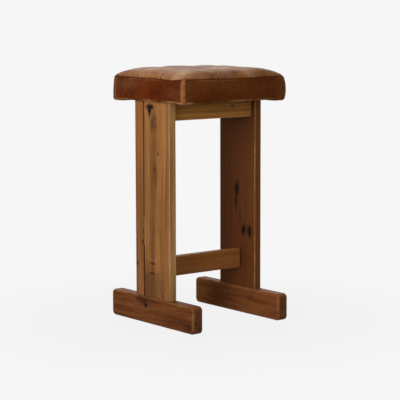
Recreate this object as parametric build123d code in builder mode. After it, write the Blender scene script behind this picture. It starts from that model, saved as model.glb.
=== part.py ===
from build123d import *
from math import copysign, sqrt
import os

# Leather bar stool: a timber trestle frame under an upholstered seat.
# Millimetres. Z is up, and X runs from the left foot to the right foot. The front is at -Y.
# The origin lies on the floor, midway between the feet.

# Feet
foot_length = 395
foot_height = 79
foot_thickness = 36
foot_corner_radius = 13
foot_edge_radius = 6

# Legs
seat_overhang_beside_legs = 15
leg_width = 164
leg_thickness = 24
leg_edge_radius = 2
narrow_plank_width = 42
plank_joint_bevel = 0.8
leg_tenon_width = 120
leg_tenon_thickness = 14
leg_tenon_length = 50

# Stretcher that serves as the footrest
stretcher_bottom = 136
stretcher_height = 58
stretcher_thickness = 24
stretcher_edge_radius = 3
stretcher_tenon_height = 33
mortise_end_gap = 0.8
wedge_length = 20
wedge_butt_thickness = 2.4
wedge_tip_thickness = 0.8

# Aprons and cleats under the seat
apron_height = 54
apron_thickness = 24
apron_setback = 18
apron_edge_radius = 2
cleat_height = 30
cleat_thickness = 26
cleat_screw_offset = 12
dowel_diameter = 8
dowel_length = 34
dowel_depth_in_leg = 14

# Wood screws
screw_shank_diameter = 4
screw_head_diameter = 8
screw_head_height = 2.5
screw_point_length = 4
screw_slot_width = 1
screw_slot_depth = 1
screw_bore_diameter = 11
seat_screw_length = 45
cleat_screw_length = 38
foot_screw_length = 45
foot_screw_recess = 8

# Seat below the seam line
seat_length = 372
seat_depth = 343
seat_underside = 650
band_height = 68
leather_thickness = 2
side_draw_in = 3
side_upright_height = 18
side_roll_radius = 4
draw_in_middle_share = 0.25
hem_width = 30
ear_length = 36
ear_depth_share = 0.447
ear_thickness = 3.6
ear_edge_radius = 1.2
welt_radius = 4
welt_stand_out = 2
board_thickness = 18
wadding_edge_height = 6

# Crown of the seat
crown_rise = 22
square_puff = 6
crown_power_share = 4
shoulder_power_share = 0.35
rim_camber_share = 0.05

# Staples and the cloth under the seat
dust_cover_thickness = 0.6
dust_cover_overlap = 12
dust_cover_clearance = 3
staple_width = 10
staple_wire_width = 1.2
staple_wire_thickness = 0.6
staple_leg_length = 8
hem_staple_spacing = 32
hem_staple_edge_distance = 5
cover_staple_spacing = 32
cover_staple_edge_distance = 3.5

# One overrun serves every cut
overrun = 5

# Levels and faces that the pieces share
frame_top = seat_underside - dust_cover_thickness
seam_level = seat_underside + band_height
side_upright_top = seat_underside + side_upright_height
rim_level = seam_level + leather_thickness
board_bottom = seat_underside + leather_thickness
board_top = board_bottom + board_thickness
pad_top = seam_level - wadding_edge_height
leg_spacing = seat_length - 2 * seat_overhang_beside_legs - leg_thickness
leg_inner_face = (leg_spacing - leg_thickness) / 2
leg_outer_face = leg_inner_face + leg_thickness
leg_body_height = frame_top - foot_height
tenon_bottom = foot_height - leg_tenon_length
plank_joint = leg_width / 2 - narrow_plank_width
stretcher_middle = stretcher_bottom + stretcher_height / 2
apron_outer_face = leg_width / 2 - apron_setback
apron_middle = apron_outer_face - apron_thickness / 2
apron_inner_face = apron_outer_face - apron_thickness
apron_bottom = frame_top - apron_height
cleat_bottom = frame_top - cleat_height
cleat_middle = leg_inner_face - cleat_thickness / 2
cleat_face = leg_inner_face - cleat_thickness
band_face_x = seat_length / 2 - welt_stand_out
band_face_y = seat_depth / 2 - welt_stand_out
rim_face_x = band_face_x - side_draw_in
rim_face_y = band_face_y - side_draw_in
ear_depth = ear_depth_share * (seat_depth - leg_width) / 2
cover_half_x = band_face_x - hem_width + dust_cover_overlap
cover_half_y = band_face_y - hem_width + dust_cover_overlap
cover_corner_clip = ear_length + ear_depth - 2 * (hem_width - dust_cover_overlap) + dust_cover_clearance

# The crown's stations as shares of its half width, from one edge to the other, in three rows of squares.
# Each row has one or two spans of three stations, and the outermost span is the rounded rim.
seam_share = 1 / 3
outer_rim_shares = (1, 0.985, 0.94)
outer_square_shares = (0.94, 0.64, seam_share)
square_station_shares = {
    "low": [tuple(-share for share in span) for span in (outer_rim_shares, outer_square_shares)],
    "middle": [(-seam_share, 0, seam_share)],
    "high": [tuple(reversed(span)) for span in (outer_square_shares, outer_rim_shares)],
}
column_names = {"left": "low", "centre": "middle", "right": "high"}
row_names = {"front": "low", "middle": "middle", "rear": "high"}

os.makedirs("parts", exist_ok=True)


def save(builder, name):
    """Label a finished piece and write it to its own file."""
    builder.part.label = name
    export_step(builder.part, f"parts/{name}.step")


# Fasteners


def wood_screw(length, slot_depth):
    """A countersunk screw that points up, with its head's face at zero. Without a slot it is a cutter."""
    with BuildPart() as screw:
        with BuildSketch(Plane.XZ):
            with BuildLine():
                Polyline(
                    (0, 0),
                    (screw_head_diameter / 2, 0),
                    (screw_shank_diameter / 2, screw_head_height),
                    (screw_shank_diameter / 2, length - screw_point_length),
                    (0, length),
                    close=True,
                )
            make_face()
        revolve(axis=Axis.Z)
        if slot_depth:
            with BuildSketch(Plane.XY):
                Rectangle(screw_head_diameter + overrun, screw_slot_width)
            extrude(amount=slot_depth, mode=Mode.SUBTRACT)
    return screw.part


def staple():
    """A staple that points up, with the face of its crown at zero."""
    with BuildPart() as piece:
        with BuildSketch(Plane.XY):
            Rectangle(staple_width, staple_wire_width)
        extrude(amount=staple_wire_thickness)
        with BuildSketch(Plane.XY):
            with GridLocations(staple_width - staple_wire_thickness, 0, 2, 1):
                Rectangle(staple_wire_thickness, staple_wire_width)
        extrude(amount=staple_leg_length)
    return piece.part


def spread(reach, spacing):
    """Evenly spaced places from -reach to +reach, no closer than the spacing."""
    gaps = max(1, int(2 * reach / spacing))
    return [-reach + 2 * reach * index / gaps for index in range(gaps + 1)]


def group(piece, places):
    """Copies of one fastener at each place."""
    with BuildPart() as copies:
        with Locations(*places):
            add(piece)
    return copies.part


side_names = {-1: "left", 1: "right"}
end_names = {-1: "front", 1: "rear"}
corners = [(side, end) for side in side_names for end in end_names]
seat_screw_places = [
    Location((side * cleat_middle, end * cleat_screw_offset, cleat_bottom)) for side, end in corners
] + [Location((side * cleat_middle / 2, end * apron_middle, cleat_bottom)) for side, end in corners]
cleat_screw_places = [
    Location(
        (side * cleat_face, end * (apron_inner_face - cleat_screw_offset), frame_top - cleat_height / 2),
        (0, side * 90, 0),
    )
    for side, end in corners
]
foot_screw_places = [
    Location((side * leg_spacing / 2, end * leg_tenon_width / 4, foot_screw_recess)) for side, end in corners
]

with BuildPart() as seat_screws:
    add(group(wood_screw(seat_screw_length, screw_slot_depth), seat_screw_places))
save(seat_screws, "seat_screws")

with BuildPart() as cleat_screws:
    add(group(wood_screw(cleat_screw_length, screw_slot_depth), cleat_screw_places))
save(cleat_screws, "cleat_screws")

with BuildPart() as foot_screws:
    add(group(wood_screw(foot_screw_length, screw_slot_depth), foot_screw_places))
save(foot_screws, "foot_screws")

seat_screw_holes = group(wood_screw(seat_screw_length, 0), seat_screw_places)
cleat_screw_holes = group(wood_screw(cleat_screw_length, 0), cleat_screw_places)
foot_screw_holes = group(wood_screw(foot_screw_length, 0), foot_screw_places)

# Dowels that join the aprons to the legs

with BuildPart() as apron_dowels:
    for side in (-1, 1):
        with BuildSketch(Plane.YZ.offset(side * (leg_inner_face + dowel_depth_in_leg))):
            with Locations((0, frame_top - apron_height / 2)):
                with GridLocations(2 * apron_middle, apron_height / 2, 2, 2):
                    Circle(dowel_diameter / 2)
        extrude(amount=-side * dowel_length)
save(apron_dowels, "apron_dowels")

# Feet

for name, side in (("left_foot", -1), ("right_foot", 1)):
    with BuildPart() as foot:
        with BuildSketch(Plane.YZ.offset(side * leg_spacing / 2)):
            with Locations((0, foot_height / 2)):
                RectangleRounded(foot_length, foot_height, foot_corner_radius)
        extrude(amount=foot_thickness / 2, both=True)
        fillet(foot.faces().filter_by(Axis.X).edges(), foot_edge_radius)
        with BuildSketch(Plane.XY.offset(foot_height)):
            with Locations((side * leg_spacing / 2, 0)):
                Rectangle(leg_tenon_thickness, leg_tenon_width)
        extrude(amount=-leg_tenon_length, mode=Mode.SUBTRACT)
        with BuildSketch(Plane.XY):
            with Locations(*[place.position for place in foot_screw_places]):
                Circle(screw_bore_diameter / 2)
        extrude(amount=foot_screw_recess, mode=Mode.SUBTRACT)
        add(foot_screw_holes, mode=Mode.SUBTRACT)
    save(foot, name)

# Stretcher, with a wedged tenon through each leg


def tenon_wedge(side):
    """Thin wedge that fills the kerf in the end of a tenon."""
    with BuildPart() as wedge:
        with BuildSketch(Plane.XY.offset(stretcher_middle - stretcher_tenon_height / 2)):
            with BuildLine():
                Polyline(
                    (side * leg_outer_face, -wedge_butt_thickness / 2),
                    (side * leg_outer_face, wedge_butt_thickness / 2),
                    (side * (leg_outer_face - wedge_length), wedge_tip_thickness / 2),
                    (side * (leg_outer_face - wedge_length), -wedge_tip_thickness / 2),
                    close=True,
                )
            make_face()
        extrude(amount=stretcher_tenon_height, dir=(0, 0, 1))
    return wedge.part


tenon_wedges = {side: tenon_wedge(side) for side in (-1, 1)}
for name, side in (("left_tenon_wedge", -1), ("right_tenon_wedge", 1)):
    with BuildPart() as wedge_piece:
        add(tenon_wedges[side])
    save(wedge_piece, name)

with BuildPart() as stretcher:
    with BuildSketch(Plane.YZ.offset(-leg_inner_face)):
        with Locations((0, stretcher_middle)):
            RectangleRounded(stretcher_thickness, stretcher_height, stretcher_edge_radius)
    extrude(amount=2 * leg_inner_face)
    with BuildSketch(Plane.YZ.offset(-leg_outer_face)):
        with Locations((0, stretcher_middle)):
            Rectangle(stretcher_thickness, stretcher_tenon_height)
    extrude(amount=2 * leg_outer_face)
    add(list(tenon_wedges.values()), mode=Mode.SUBTRACT)
save(stretcher, "stretcher")

# Legs: the left one is two planks edge to edge, the right one a single board


def leg_plank(side, front_edge, rear_edge, tenon_front, tenon_rear):
    """A board of a leg between two places front to back, with the mortises and bores that it carries."""
    with BuildPart() as plank:
        with BuildSketch(Plane.XY.offset(foot_height)):
            with Locations((side * leg_spacing / 2, (front_edge + rear_edge) / 2)):
                Rectangle(leg_thickness, rear_edge - front_edge)
        extrude(amount=leg_body_height)
        for outer, level in ((abs(front_edge) == leg_width / 2, 0), (abs(rear_edge) == leg_width / 2, -1)):
            edges = plank.edges().filter_by(Axis.Z).group_by(Axis.Y)[level]
            if outer:
                fillet(edges, leg_edge_radius)
            else:
                chamfer(edges, plank_joint_bevel)
        with BuildSketch(Plane.XY.offset(tenon_bottom)):
            with Locations((side * leg_spacing / 2, (tenon_front + tenon_rear) / 2)):
                Rectangle(leg_tenon_thickness, tenon_rear - tenon_front)
        extrude(amount=leg_tenon_length)
        with BuildSketch(Plane.YZ.offset(side * (leg_inner_face - overrun))):
            with Locations((0, stretcher_middle)):
                Rectangle(stretcher_thickness, stretcher_tenon_height + 2 * mortise_end_gap)
        extrude(amount=side * (leg_thickness + 2 * overrun), mode=Mode.SUBTRACT)
        add(apron_dowels.part, mode=Mode.SUBTRACT)
        add(cleat_screw_holes, mode=Mode.SUBTRACT)
        add(foot_screw_holes, mode=Mode.SUBTRACT)
    return plank.part


leg_half_width = leg_width / 2
tenon_half_width = leg_tenon_width / 2
leg_planks = {
    "left_leg_wide_plank": (-1, -leg_half_width, plank_joint, -tenon_half_width, plank_joint),
    "left_leg_narrow_plank": (-1, plank_joint, leg_half_width, plank_joint, tenon_half_width),
    "right_leg": (1, -leg_half_width, leg_half_width, -tenon_half_width, tenon_half_width),
}
for name, plank_places in leg_planks.items():
    with BuildPart() as leg_piece:
        add(leg_plank(*plank_places))
    save(leg_piece, name)

# Aprons and cleats under the seat

for name, end in (("front_apron", -1), ("rear_apron", 1)):
    with BuildPart() as apron:
        with BuildSketch(Plane.YZ.offset(-leg_inner_face)):
            with Locations((end * apron_middle, frame_top - apron_height / 2)):
                Rectangle(apron_thickness, apron_height)
        extrude(amount=2 * leg_inner_face)
        fillet(apron.faces().sort_by(Axis.Z)[0].edges().filter_by(Axis.X), apron_edge_radius)
        with BuildSketch(Plane.XY.offset(apron_bottom)):
            with GridLocations(cleat_middle, 2 * apron_middle, 2, 2):
                Circle(screw_bore_diameter / 2)
        extrude(amount=cleat_bottom - apron_bottom, mode=Mode.SUBTRACT)
        add(apron_dowels.part, mode=Mode.SUBTRACT)
        add(seat_screw_holes, mode=Mode.SUBTRACT)
    save(apron, name)

for name, side in (("left_cleat", -1), ("right_cleat", 1)):
    with BuildPart() as cleat:
        with BuildSketch(Plane.XY.offset(cleat_bottom)):
            with Locations((side * cleat_middle, 0)):
                Rectangle(cleat_thickness, 2 * apron_inner_face)
        extrude(amount=cleat_height)
        add(cleat_screw_holes, mode=Mode.SUBTRACT)
        add(seat_screw_holes, mode=Mode.SUBTRACT)
    save(cleat, name)

# Staples under the seat

hem_line_x = band_face_x - hem_width + hem_staple_edge_distance
hem_line_y = band_face_y - hem_width + hem_staple_edge_distance
hem_reach_x = band_face_x - ear_length - staple_width
hem_reach_y = band_face_y - ear_depth - staple_width
hem_staple_places = [
    Location((place, end * hem_line_y, seat_underside))
    for place in spread(hem_reach_x, hem_staple_spacing)
    for end in (-1, 1)
] + [
    Location((end * hem_line_x, place, seat_underside), (0, 0, 90))
    for place in spread(hem_reach_y, hem_staple_spacing)
    for end in (-1, 1)
]

cover_line_x = cover_half_x - cover_staple_edge_distance
cover_line_y = cover_half_y - cover_staple_edge_distance
cover_reach_x = cover_half_x - cover_corner_clip - staple_width / 2
side_staple_place = (leg_half_width + cover_half_y - cover_corner_clip) / 2
cover_staple_level = frame_top - staple_wire_thickness
cover_staple_places = [
    Location((place, end * cover_line_y, cover_staple_level))
    for place in spread(cover_reach_x, cover_staple_spacing)
    for end in (-1, 1)
] + [
    Location((end * cover_line_x, place, cover_staple_level), (0, 0, 90))
    for place in (-side_staple_place, side_staple_place)
    for end in (-1, 1)
]

with BuildPart() as hem_staples:
    add(group(staple(), hem_staple_places))
save(hem_staples, "hem_staples")

with BuildPart() as dust_cover_staples:
    add(group(staple(), cover_staple_places))
save(dust_cover_staples, "dust_cover_staples")

# Envelope of the seat below its seam line


def draw_in_points(face, draw_in):
    """Start, middle and end of the arc that draws a face in from upright to the seam."""
    middle_face = face - draw_in * draw_in_middle_share
    middle_level = (side_upright_top + seam_level) / 2
    return (face, side_upright_top), (middle_face, middle_level), (face - draw_in, seam_level)


def side_section(plane, face, inset):
    """Upright section between two opposite bands: rolled at the foot, drawn in towards the seam."""
    bottom = seat_underside + inset
    roll = side_roll_radius - inset
    inner_face = face - inset
    with BuildSketch(plane) as section:
        with BuildLine():
            Line((0, bottom), (inner_face - roll, bottom))
            CenterArc((inner_face - roll, bottom + roll), roll, -90, 90)
            Line((inner_face, bottom + roll), (inner_face, side_upright_top))
            ThreePointArc(*draw_in_points(inner_face, side_draw_in))
            Line((inner_face - side_draw_in, seam_level), (0, seam_level))
            mirror(about=Plane.YZ)
        make_face()
    return section.sketch


def seat_envelope(inset):
    """The seat up to its seam line, so far inside the face of the leather."""
    with BuildPart() as envelope:
        extrude(side_section(Plane.XZ, band_face_x, inset), amount=seat_depth, both=True)
        lengthwise = side_section(Plane.YZ, band_face_y, inset)
        extrude(lengthwise, amount=seat_length, both=True, mode=Mode.INTERSECT)
    return envelope.part


def corner_welt(side, end):
    """Rolled leather strip up one corner seam, following the corner as it draws in."""
    welt_inset = welt_radius - welt_stand_out
    corner = (side * (band_face_x - welt_inset), end * (band_face_y - welt_inset))
    diagonal = Plane(origin=(*corner, 0), x_dir=(side, end, 0), z_dir=(end, -side, 0))
    with BuildPart() as welt:
        with BuildLine(diagonal) as path:
            Line((0, seat_underside), (0, side_upright_top))
            drawn = ThreePointArc(*draw_in_points(0, side_draw_in * sqrt(2)))
            Line(drawn @ 1, drawn @ 1 + drawn % 1 * welt_radius)
        with BuildSketch(Plane.XY.offset(seat_underside)):
            with Locations(corner):
                Circle(welt_radius)
        sweep(path=path.line)
        split(bisect_by=Plane.XY.offset(seam_level), keep=Keep.BOTTOM)
    return welt.part


def corner_welts():
    """The four corner welts, as cutters for what they are let into."""
    return [corner_welt(side, end) for side, end in corners]


for side, end in corners:
    with BuildPart() as welt_piece:
        add(corner_welt(side, end))
    save(welt_piece, f"{end_names[end]}_{side_names[side]}_welt")

# Leather bands round the side of the seat, each turned in under the board as a hem

band_reach = hem_width + overrun
far_x = band_face_x + overrun
far_y = band_face_y + overrun
near_x = band_face_x - band_reach
near_y = band_face_y - band_reach
band_fields = {
    "front_band": ((-far_x, -far_y), (far_x, -far_y), (near_x, -near_y), (-near_x, -near_y)),
    "rear_band": ((-far_x, far_y), (far_x, far_y), (near_x, near_y), (-near_x, near_y)),
    "left_band": ((-far_x, -far_y), (-far_x, far_y), (-near_x, near_y), (-near_x, -near_y)),
    "right_band": ((far_x, -far_y), (far_x, far_y), (near_x, near_y), (near_x, -near_y)),
}
ear_ends = {"front_band": -1, "rear_band": 1}
ear_centre_x = band_face_x - ear_edge_radius - ear_length / 2
ear_centre_y = band_face_y - ear_edge_radius - ear_depth / 2

for name, field in band_fields.items():
    with BuildPart() as band:
        add(seat_envelope(0))
        add(seat_envelope(leather_thickness), mode=Mode.SUBTRACT)
        with BuildSketch(Plane.XY.offset(seat_underside - overrun)):
            Rectangle(2 * (band_face_x - hem_width), 2 * (band_face_y - hem_width))
        extrude(amount=2 * overrun, mode=Mode.SUBTRACT)
        with BuildSketch(Plane.XY.offset(seat_underside - overrun)):
            Polygon(*field, align=None)
        extrude(amount=band_height + 2 * overrun, mode=Mode.INTERSECT)
        if name in ear_ends:
            with BuildSketch(Plane.XY.offset(seat_underside)):
                with Locations(*[(side * ear_centre_x, ear_ends[name] * ear_centre_y) for side in (-1, 1)]):
                    RectangleRounded(ear_length, ear_depth, side_roll_radius)
            extrude(amount=-ear_thickness)
            fillet(band.faces().sort_by(Axis.Z)[:2].edges(), ear_edge_radius)
        add(corner_welts(), mode=Mode.SUBTRACT)
        add(hem_staples.part, mode=Mode.SUBTRACT)
        add(dust_cover_staples.part, mode=Mode.SUBTRACT)
    save(band, name)

# Seat board, foam pad and wadding inside the leather


def seat_layer(bottom, top):
    """A level slice of the space inside the leather, clear of the corner welts."""
    with BuildPart() as layer:
        add(seat_envelope(leather_thickness))
        with BuildSketch(Plane.XY.offset(bottom)):
            Rectangle(2 * seat_length, 2 * seat_depth)
        extrude(amount=top - bottom, mode=Mode.INTERSECT)
        add(corner_welts(), mode=Mode.SUBTRACT)
    return layer.part


with BuildPart() as seat_board:
    add(seat_layer(board_bottom - overrun, board_top))
    add(hem_staples.part, mode=Mode.SUBTRACT)
    add(dust_cover_staples.part, mode=Mode.SUBTRACT)
    add(seat_screw_holes, mode=Mode.SUBTRACT)
save(seat_board, "seat_board")

with BuildPart() as foam_pad:
    add(seat_layer(board_top, pad_top))
save(foam_pad, "foam_pad")

# Crown of nine squares, sewn three by three


def rise(share):
    """Height of the crown at a share of its half width: nothing at the rim, one in the middle."""
    return (1 - abs(share) ** crown_power_share) ** shoulder_power_share


def puff(share, spans):
    """Puff of one square at a share of the crown's half width: nothing at its edges, one midway."""
    start = spans[0][0]
    middle = (start + spans[-1][-1]) / 2
    return 1 - ((share - middle) / (start - middle)) ** 2


def station_place(share, face, inset):
    """Where a station lies. The stations of the rim move in with the inset, the others stay."""
    moved = inset if abs(share) >= outer_rim_shares[-1] else 0
    return share * face - copysign(moved, share)


def crown_point(share, spans, row_rise, row_puff, inset):
    """A point of one square's upright section, as its place from left to right and its height."""
    lift = crown_rise * row_rise * rise(share) + square_puff * row_puff * puff(share, spans)
    return station_place(share, rim_face_x, inset), rim_level - inset + lift


def crown_block(column, row, inset, base):
    """One square of the crown as a solid from a level base, so far inside the leather's face."""
    columns = square_station_shares[column]
    rows = square_station_shares[row]
    with BuildPart() as block:
        for row_span in rows:
            for row_share in row_span:
                row_rise = max(rim_camber_share, rise(row_share))
                row_puff = max(rim_camber_share, puff(row_share, rows))
                lifts = (row_rise, row_puff, inset)
                arcs = [[crown_point(share, columns, *lifts) for share in span] for span in columns]
                start = arcs[0][0]
                finish = arcs[-1][-1]
                with BuildSketch(Plane.XZ.offset(-station_place(row_share, rim_face_y, inset))):
                    with BuildLine():
                        for arc in arcs:
                            ThreePointArc(*arc)
                        Polyline(finish, (finish[0], base), (start[0], base), start)
                    make_face()
            loft(ruled=1 in row_span or -1 in row_span)
    return block.part


with BuildPart() as crown_wadding:
    for column in column_names.values():
        for row in row_names.values():
            add(crown_block(column, row, leather_thickness, pad_top))
    add(corner_welts(), mode=Mode.SUBTRACT)
save(crown_wadding, "crown_wadding")

for row_name, row in row_names.items():
    for column_name, column in column_names.items():
        with BuildPart() as square:
            add(crown_block(column, row, 0, seam_level))
            add(crown_block(column, row, leather_thickness, pad_top), mode=Mode.SUBTRACT)
        save(square, f"{row_name}_{column_name}_square")

# Cloth under the seat, with its corners clipped clear of the folded ears

with BuildPart() as dust_cover:
    with BuildSketch(Plane.XY.offset(frame_top)):
        Rectangle(2 * cover_half_x, 2 * cover_half_y)
    extrude(amount=dust_cover_thickness)
    chamfer(dust_cover.edges().filter_by(Axis.Z), cover_corner_clip)
    add(seat_screw_holes, mode=Mode.SUBTRACT)
    add(dust_cover_staples.part, mode=Mode.SUBTRACT)
save(dust_cover, "dust_cover")
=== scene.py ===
"""Leather bar stool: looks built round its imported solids, in metres, with the floor at zero.

The seat's leather, filling, cloth and thread are modelled here. The timber and the fasteners keep
their solids and get their finishes here. Lengths in the classes are in mm, x runs to the right and
y to the rear.
"""

import logging
import math
from dataclasses import dataclass, field, replace
from enum import Enum
from functools import reduce

import bmesh
import bpy
import numpy as np
from mathutils import Euler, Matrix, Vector


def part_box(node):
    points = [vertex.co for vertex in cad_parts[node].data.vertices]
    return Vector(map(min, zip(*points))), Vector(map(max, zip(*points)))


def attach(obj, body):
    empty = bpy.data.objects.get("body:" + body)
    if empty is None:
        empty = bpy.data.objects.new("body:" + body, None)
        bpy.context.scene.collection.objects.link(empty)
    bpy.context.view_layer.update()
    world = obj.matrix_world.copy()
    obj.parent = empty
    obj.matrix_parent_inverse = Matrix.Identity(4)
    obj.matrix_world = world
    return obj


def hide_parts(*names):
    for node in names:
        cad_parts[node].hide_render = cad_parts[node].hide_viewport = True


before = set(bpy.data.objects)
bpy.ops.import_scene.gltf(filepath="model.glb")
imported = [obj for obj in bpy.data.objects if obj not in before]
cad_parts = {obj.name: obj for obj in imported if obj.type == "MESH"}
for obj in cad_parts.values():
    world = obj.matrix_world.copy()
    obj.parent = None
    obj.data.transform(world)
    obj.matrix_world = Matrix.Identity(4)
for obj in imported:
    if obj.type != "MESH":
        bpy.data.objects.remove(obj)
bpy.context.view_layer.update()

LOG = logging.getLogger("bar_stool")
MM = 0.001
BODY = "root"
SMOOTH_ANGLE = math.radians(42)
ROW_NAMES = {-1: "front", 0: "middle", 1: "rear"}
COLUMN_NAMES = {-1: "left", 0: "centre", 1: "right"}
UNCHANGED = (1.0, 1.0, 1.0)
TINY = 1e-9

Points = np.ndarray
Layers = dict[str, np.ndarray]
Range = tuple[float, ...]
Object = bpy.types.Object
Material = bpy.types.Material


def linear(code: str) -> tuple[float, float, float, float]:
    """Turns a colour code such as "a06a3c" into the linear values that a shader takes.

    Args:
        code: six hexadecimal digits, which follow the sRGB curve.

    Returns:
        Red, green, blue and an alpha of 1.
    """
    parts = [int(code[i : i + 2], 16) / 255 for i in (0, 2, 4)]
    red, green, blue = (p / 12.92 if p <= 0.04045 else ((p + 0.055) / 1.055) ** 2.4 for p in parts)
    return red, green, blue, 1.0


def ease(low: float, high: float, value: Points) -> Points:
    """Smooth step from 0 at low to 1 at high."""
    t = np.clip((value - low) / (high - low), 0, 1)
    return t * t * (3 - 2 * t)


def bell(value: Points, width: float) -> Points:
    """Bell curve that is 1 at zero and has fallen to 0.37 at the width."""
    return np.exp(-((value / width) ** 2))


def graded(length: float, fine: float, step: float, both: bool = True, growth: float = 1.35) -> Points:
    """Stations along a length, close together at its start, and at its end too where both is set.

    Args:
        length: the whole length.
        fine: the first gap.
        step: the widest gap.
        both: whether the end is as fine as the start.
        growth: each gap as a share of the one before it.

    Returns:
        Rising stations from 0 to the length.
    """
    reach, gap, places = length / 2 if both else length, fine, [0.0]
    while places[-1] < reach:
        places.append(places[-1] + gap)
        gap = min(gap * growth, step)
    half = np.array(places) * reach / places[-1]
    return np.concatenate([half, length - half[-2::-1]]) if both else half


def hermite(stations: Points, values: Points, wanted: Points) -> Points:
    """Smooth values between uneven stations along the first axis.

    Args:
        stations: rising places of the values.
        values: one or more numbers at each station.
        wanted: places to read.

    Returns:
        The values at the wanted places.
    """
    slopes = np.gradient(values, stations, axis=0)
    k = np.clip(np.searchsorted(stations, wanted) - 1, 0, len(stations) - 2)
    shape = (-1,) + (1,) * (values.ndim - 1)
    gap = (stations[k + 1] - stations[k]).reshape(shape)
    t = (wanted - stations[k]).reshape(shape) / gap
    start = (2 * t**3 - 3 * t**2 + 1) * values[k] + (t**3 - 2 * t**2 + t) * gap * slopes[k]
    return start + (3 * t**2 - 2 * t**3) * values[k + 1] + (t**3 - t**2) * gap * slopes[k + 1]


def normals(grid: Points) -> Points:
    """Unit normals of a grid of points, from its two directions."""
    across = np.cross(np.gradient(grid, axis=0), np.gradient(grid, axis=1))
    return across / np.maximum(np.linalg.norm(across, axis=2, keepdims=True), TINY)


class Ripple:
    """Soft seeded unevenness of hand-worked leather: a few waves of mixed length and direction."""

    waves_drawn = 7
    falloff = 0.7
    height = 1.6

    def __init__(self, seed: int, longest: float, shortest: float) -> None:
        """Draws the waves.

        Args:
            seed: fixes the draw.
            longest: longest wave in mm.
            shortest: shortest wave in mm.
        """
        draw = np.random.default_rng(seed)
        lengths = np.geomspace(longest, shortest, self.waves_drawn)
        turns = draw.uniform(0, math.pi, self.waves_drawn)
        self.waves = np.stack([np.cos(turns), np.sin(turns)]) * 2 * math.pi / lengths
        self.phases = draw.uniform(0, 2 * math.pi, self.waves_drawn)
        weights = (lengths / longest) ** self.falloff
        self.weights = weights / weights.sum()

    def at(self, first: Points, second: Points) -> Points:
        """Reads the unevenness.

        Args:
            first: one coordinate of each place, in mm.
            second: the other coordinate.

        Returns:
            A height from about -1 to 1 at each place.
        """
        total = np.zeros(np.broadcast(first, second).shape)
        for (a, b), phase, weight in zip(self.waves.T, self.phases, self.weights):
            total = total + weight * np.sin(a * first + b * second + phase)
        return total * self.height


@dataclass(frozen=True)
class Gather:
    """Small folds that a seam draws into leather: a wave along it whose pace wanders.

    Pace and drift are in radians for each mm, and wander is how far the wave strays, in radians.
    """

    pace: float
    wander: float
    drift: float

    def at(self, along: Points, phase: float | Points = 0.0, start: float = 0.0) -> Points:
        """Height from -1 to 1 along the seam, with a phase for the wave and a start for its wandering."""
        return np.sin(along * self.pace + self.wander * np.sin(along * self.drift + start) + phase)


def with_light_and_tone_patch(rub: Points, fold: Points, tone: float, patch: Points) -> tuple[Points, Points]:
    """Adds a patch of paler or darker leather to the two layers: painted highlight and shade on the crown,
    painted sheen and tone on the bands.

    Args:
        rub: how pale the leather is, from wear and painted highlights.
        fold: how dark it is, from painted shade.
        tone: the patch's strength, above 0 for a pale one and below 0 for a dark one.
        patch: its shape, from 0 to 1.

    Returns:
        Both layers with the patch.
    """
    added = abs(tone) * patch
    return (rub + added, fold) if tone > 0 else (rub, fold + added)


# Meshes


def piece(name: str, points: Points, faces: list, layers: Layers | None = None) -> Object:
    """Makes an object from points in mm, with its faces turned outwards.

    Args:
        name: the piece's name.
        points: one row for each vertex.
        faces: vertex numbers of each face, all wound the same way.
        layers: values for each vertex that the finish reads.

    Returns:
        The object, linked to the scene and smoothly shaded.
    """
    mesh = bpy.data.meshes.new(name)
    mesh.from_pydata((points * MM).tolist(), [], [list(map(int, f)) for f in faces])
    for layer, values in (layers or {}).items():
        attribute = mesh.attributes.new(layer, "FLOAT", "POINT")
        attribute.data.foreach_set("value", np.asarray(values, np.float32).ravel())
    form = bmesh.new()
    form.from_mesh(mesh)
    if form.calc_volume(signed=True) < 0:
        bmesh.ops.reverse_faces(form, faces=form.faces)
    form.to_mesh(mesh)
    form.free()
    mesh.shade_smooth()
    mesh.set_sharp_from_angle(angle=SMOOTH_ANGLE)
    return linked(name, mesh)


def linked(name: str, data: bpy.types.ID) -> Object:
    """Makes an object and links it to the scene.

    Args:
        name: the object's name.
        data: its mesh, lamp or camera.

    Returns:
        The object.
    """
    made = bpy.data.objects.new(name, data)
    bpy.context.scene.collection.objects.link(made)
    return made


def grid_faces(index: Points) -> Points:
    """Faces of a grid of vertex numbers, one row for each."""
    corners = [index[:-1, :-1], index[1:, :-1], index[1:, 1:], index[:-1, 1:]]
    return np.stack(corners, -1).reshape(-1, 4)


def shell_faces(rows: int, columns: int, start: int = 0) -> list:
    """Faces of a closed shell whose outer grid of points comes first and its inner grid after it.

    Args:
        rows: points of each grid one way.
        columns: points of each grid the other way.
        start: number of the shell's first point.

    Returns:
        Vertex numbers of each face, all wound the same way.
    """
    size = rows * columns
    index = np.arange(size).reshape(rows, columns) + start
    quads = grid_faces(index)
    rim = np.concatenate([index[:, 0], index[-1, 1:], index[-2::-1, -1], index[0, -2:0:-1]])
    after = np.roll(rim, -1)
    walls = np.stack([after, rim, rim + size, after + size], -1)
    return np.concatenate([quads, quads[:, ::-1] + size, walls]).tolist()


def shell_points(outer: Points, inner: Points) -> Points:
    """Points of a closed shell, in the order that its faces name them."""
    return np.concatenate([outer.reshape(-1, 3), inner.reshape(-1, 3)])


def tube_faces(rings: int, sides: int) -> list:
    """Faces of a tube of rings with a cap at each end.

    Args:
        rings: how many rings there are.
        sides: points of each ring.

    Returns:
        Vertex numbers of each face, all wound the same way.
    """
    index = np.arange(rings * sides).reshape(rings, sides)
    around = np.roll(index, -1, axis=1)
    quads = np.stack([index[:-1], around[:-1], around[1:], index[1:]], -1).reshape(-1, 4).tolist()
    return quads + [index[0, ::-1].tolist(), index[-1].tolist()]


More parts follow.
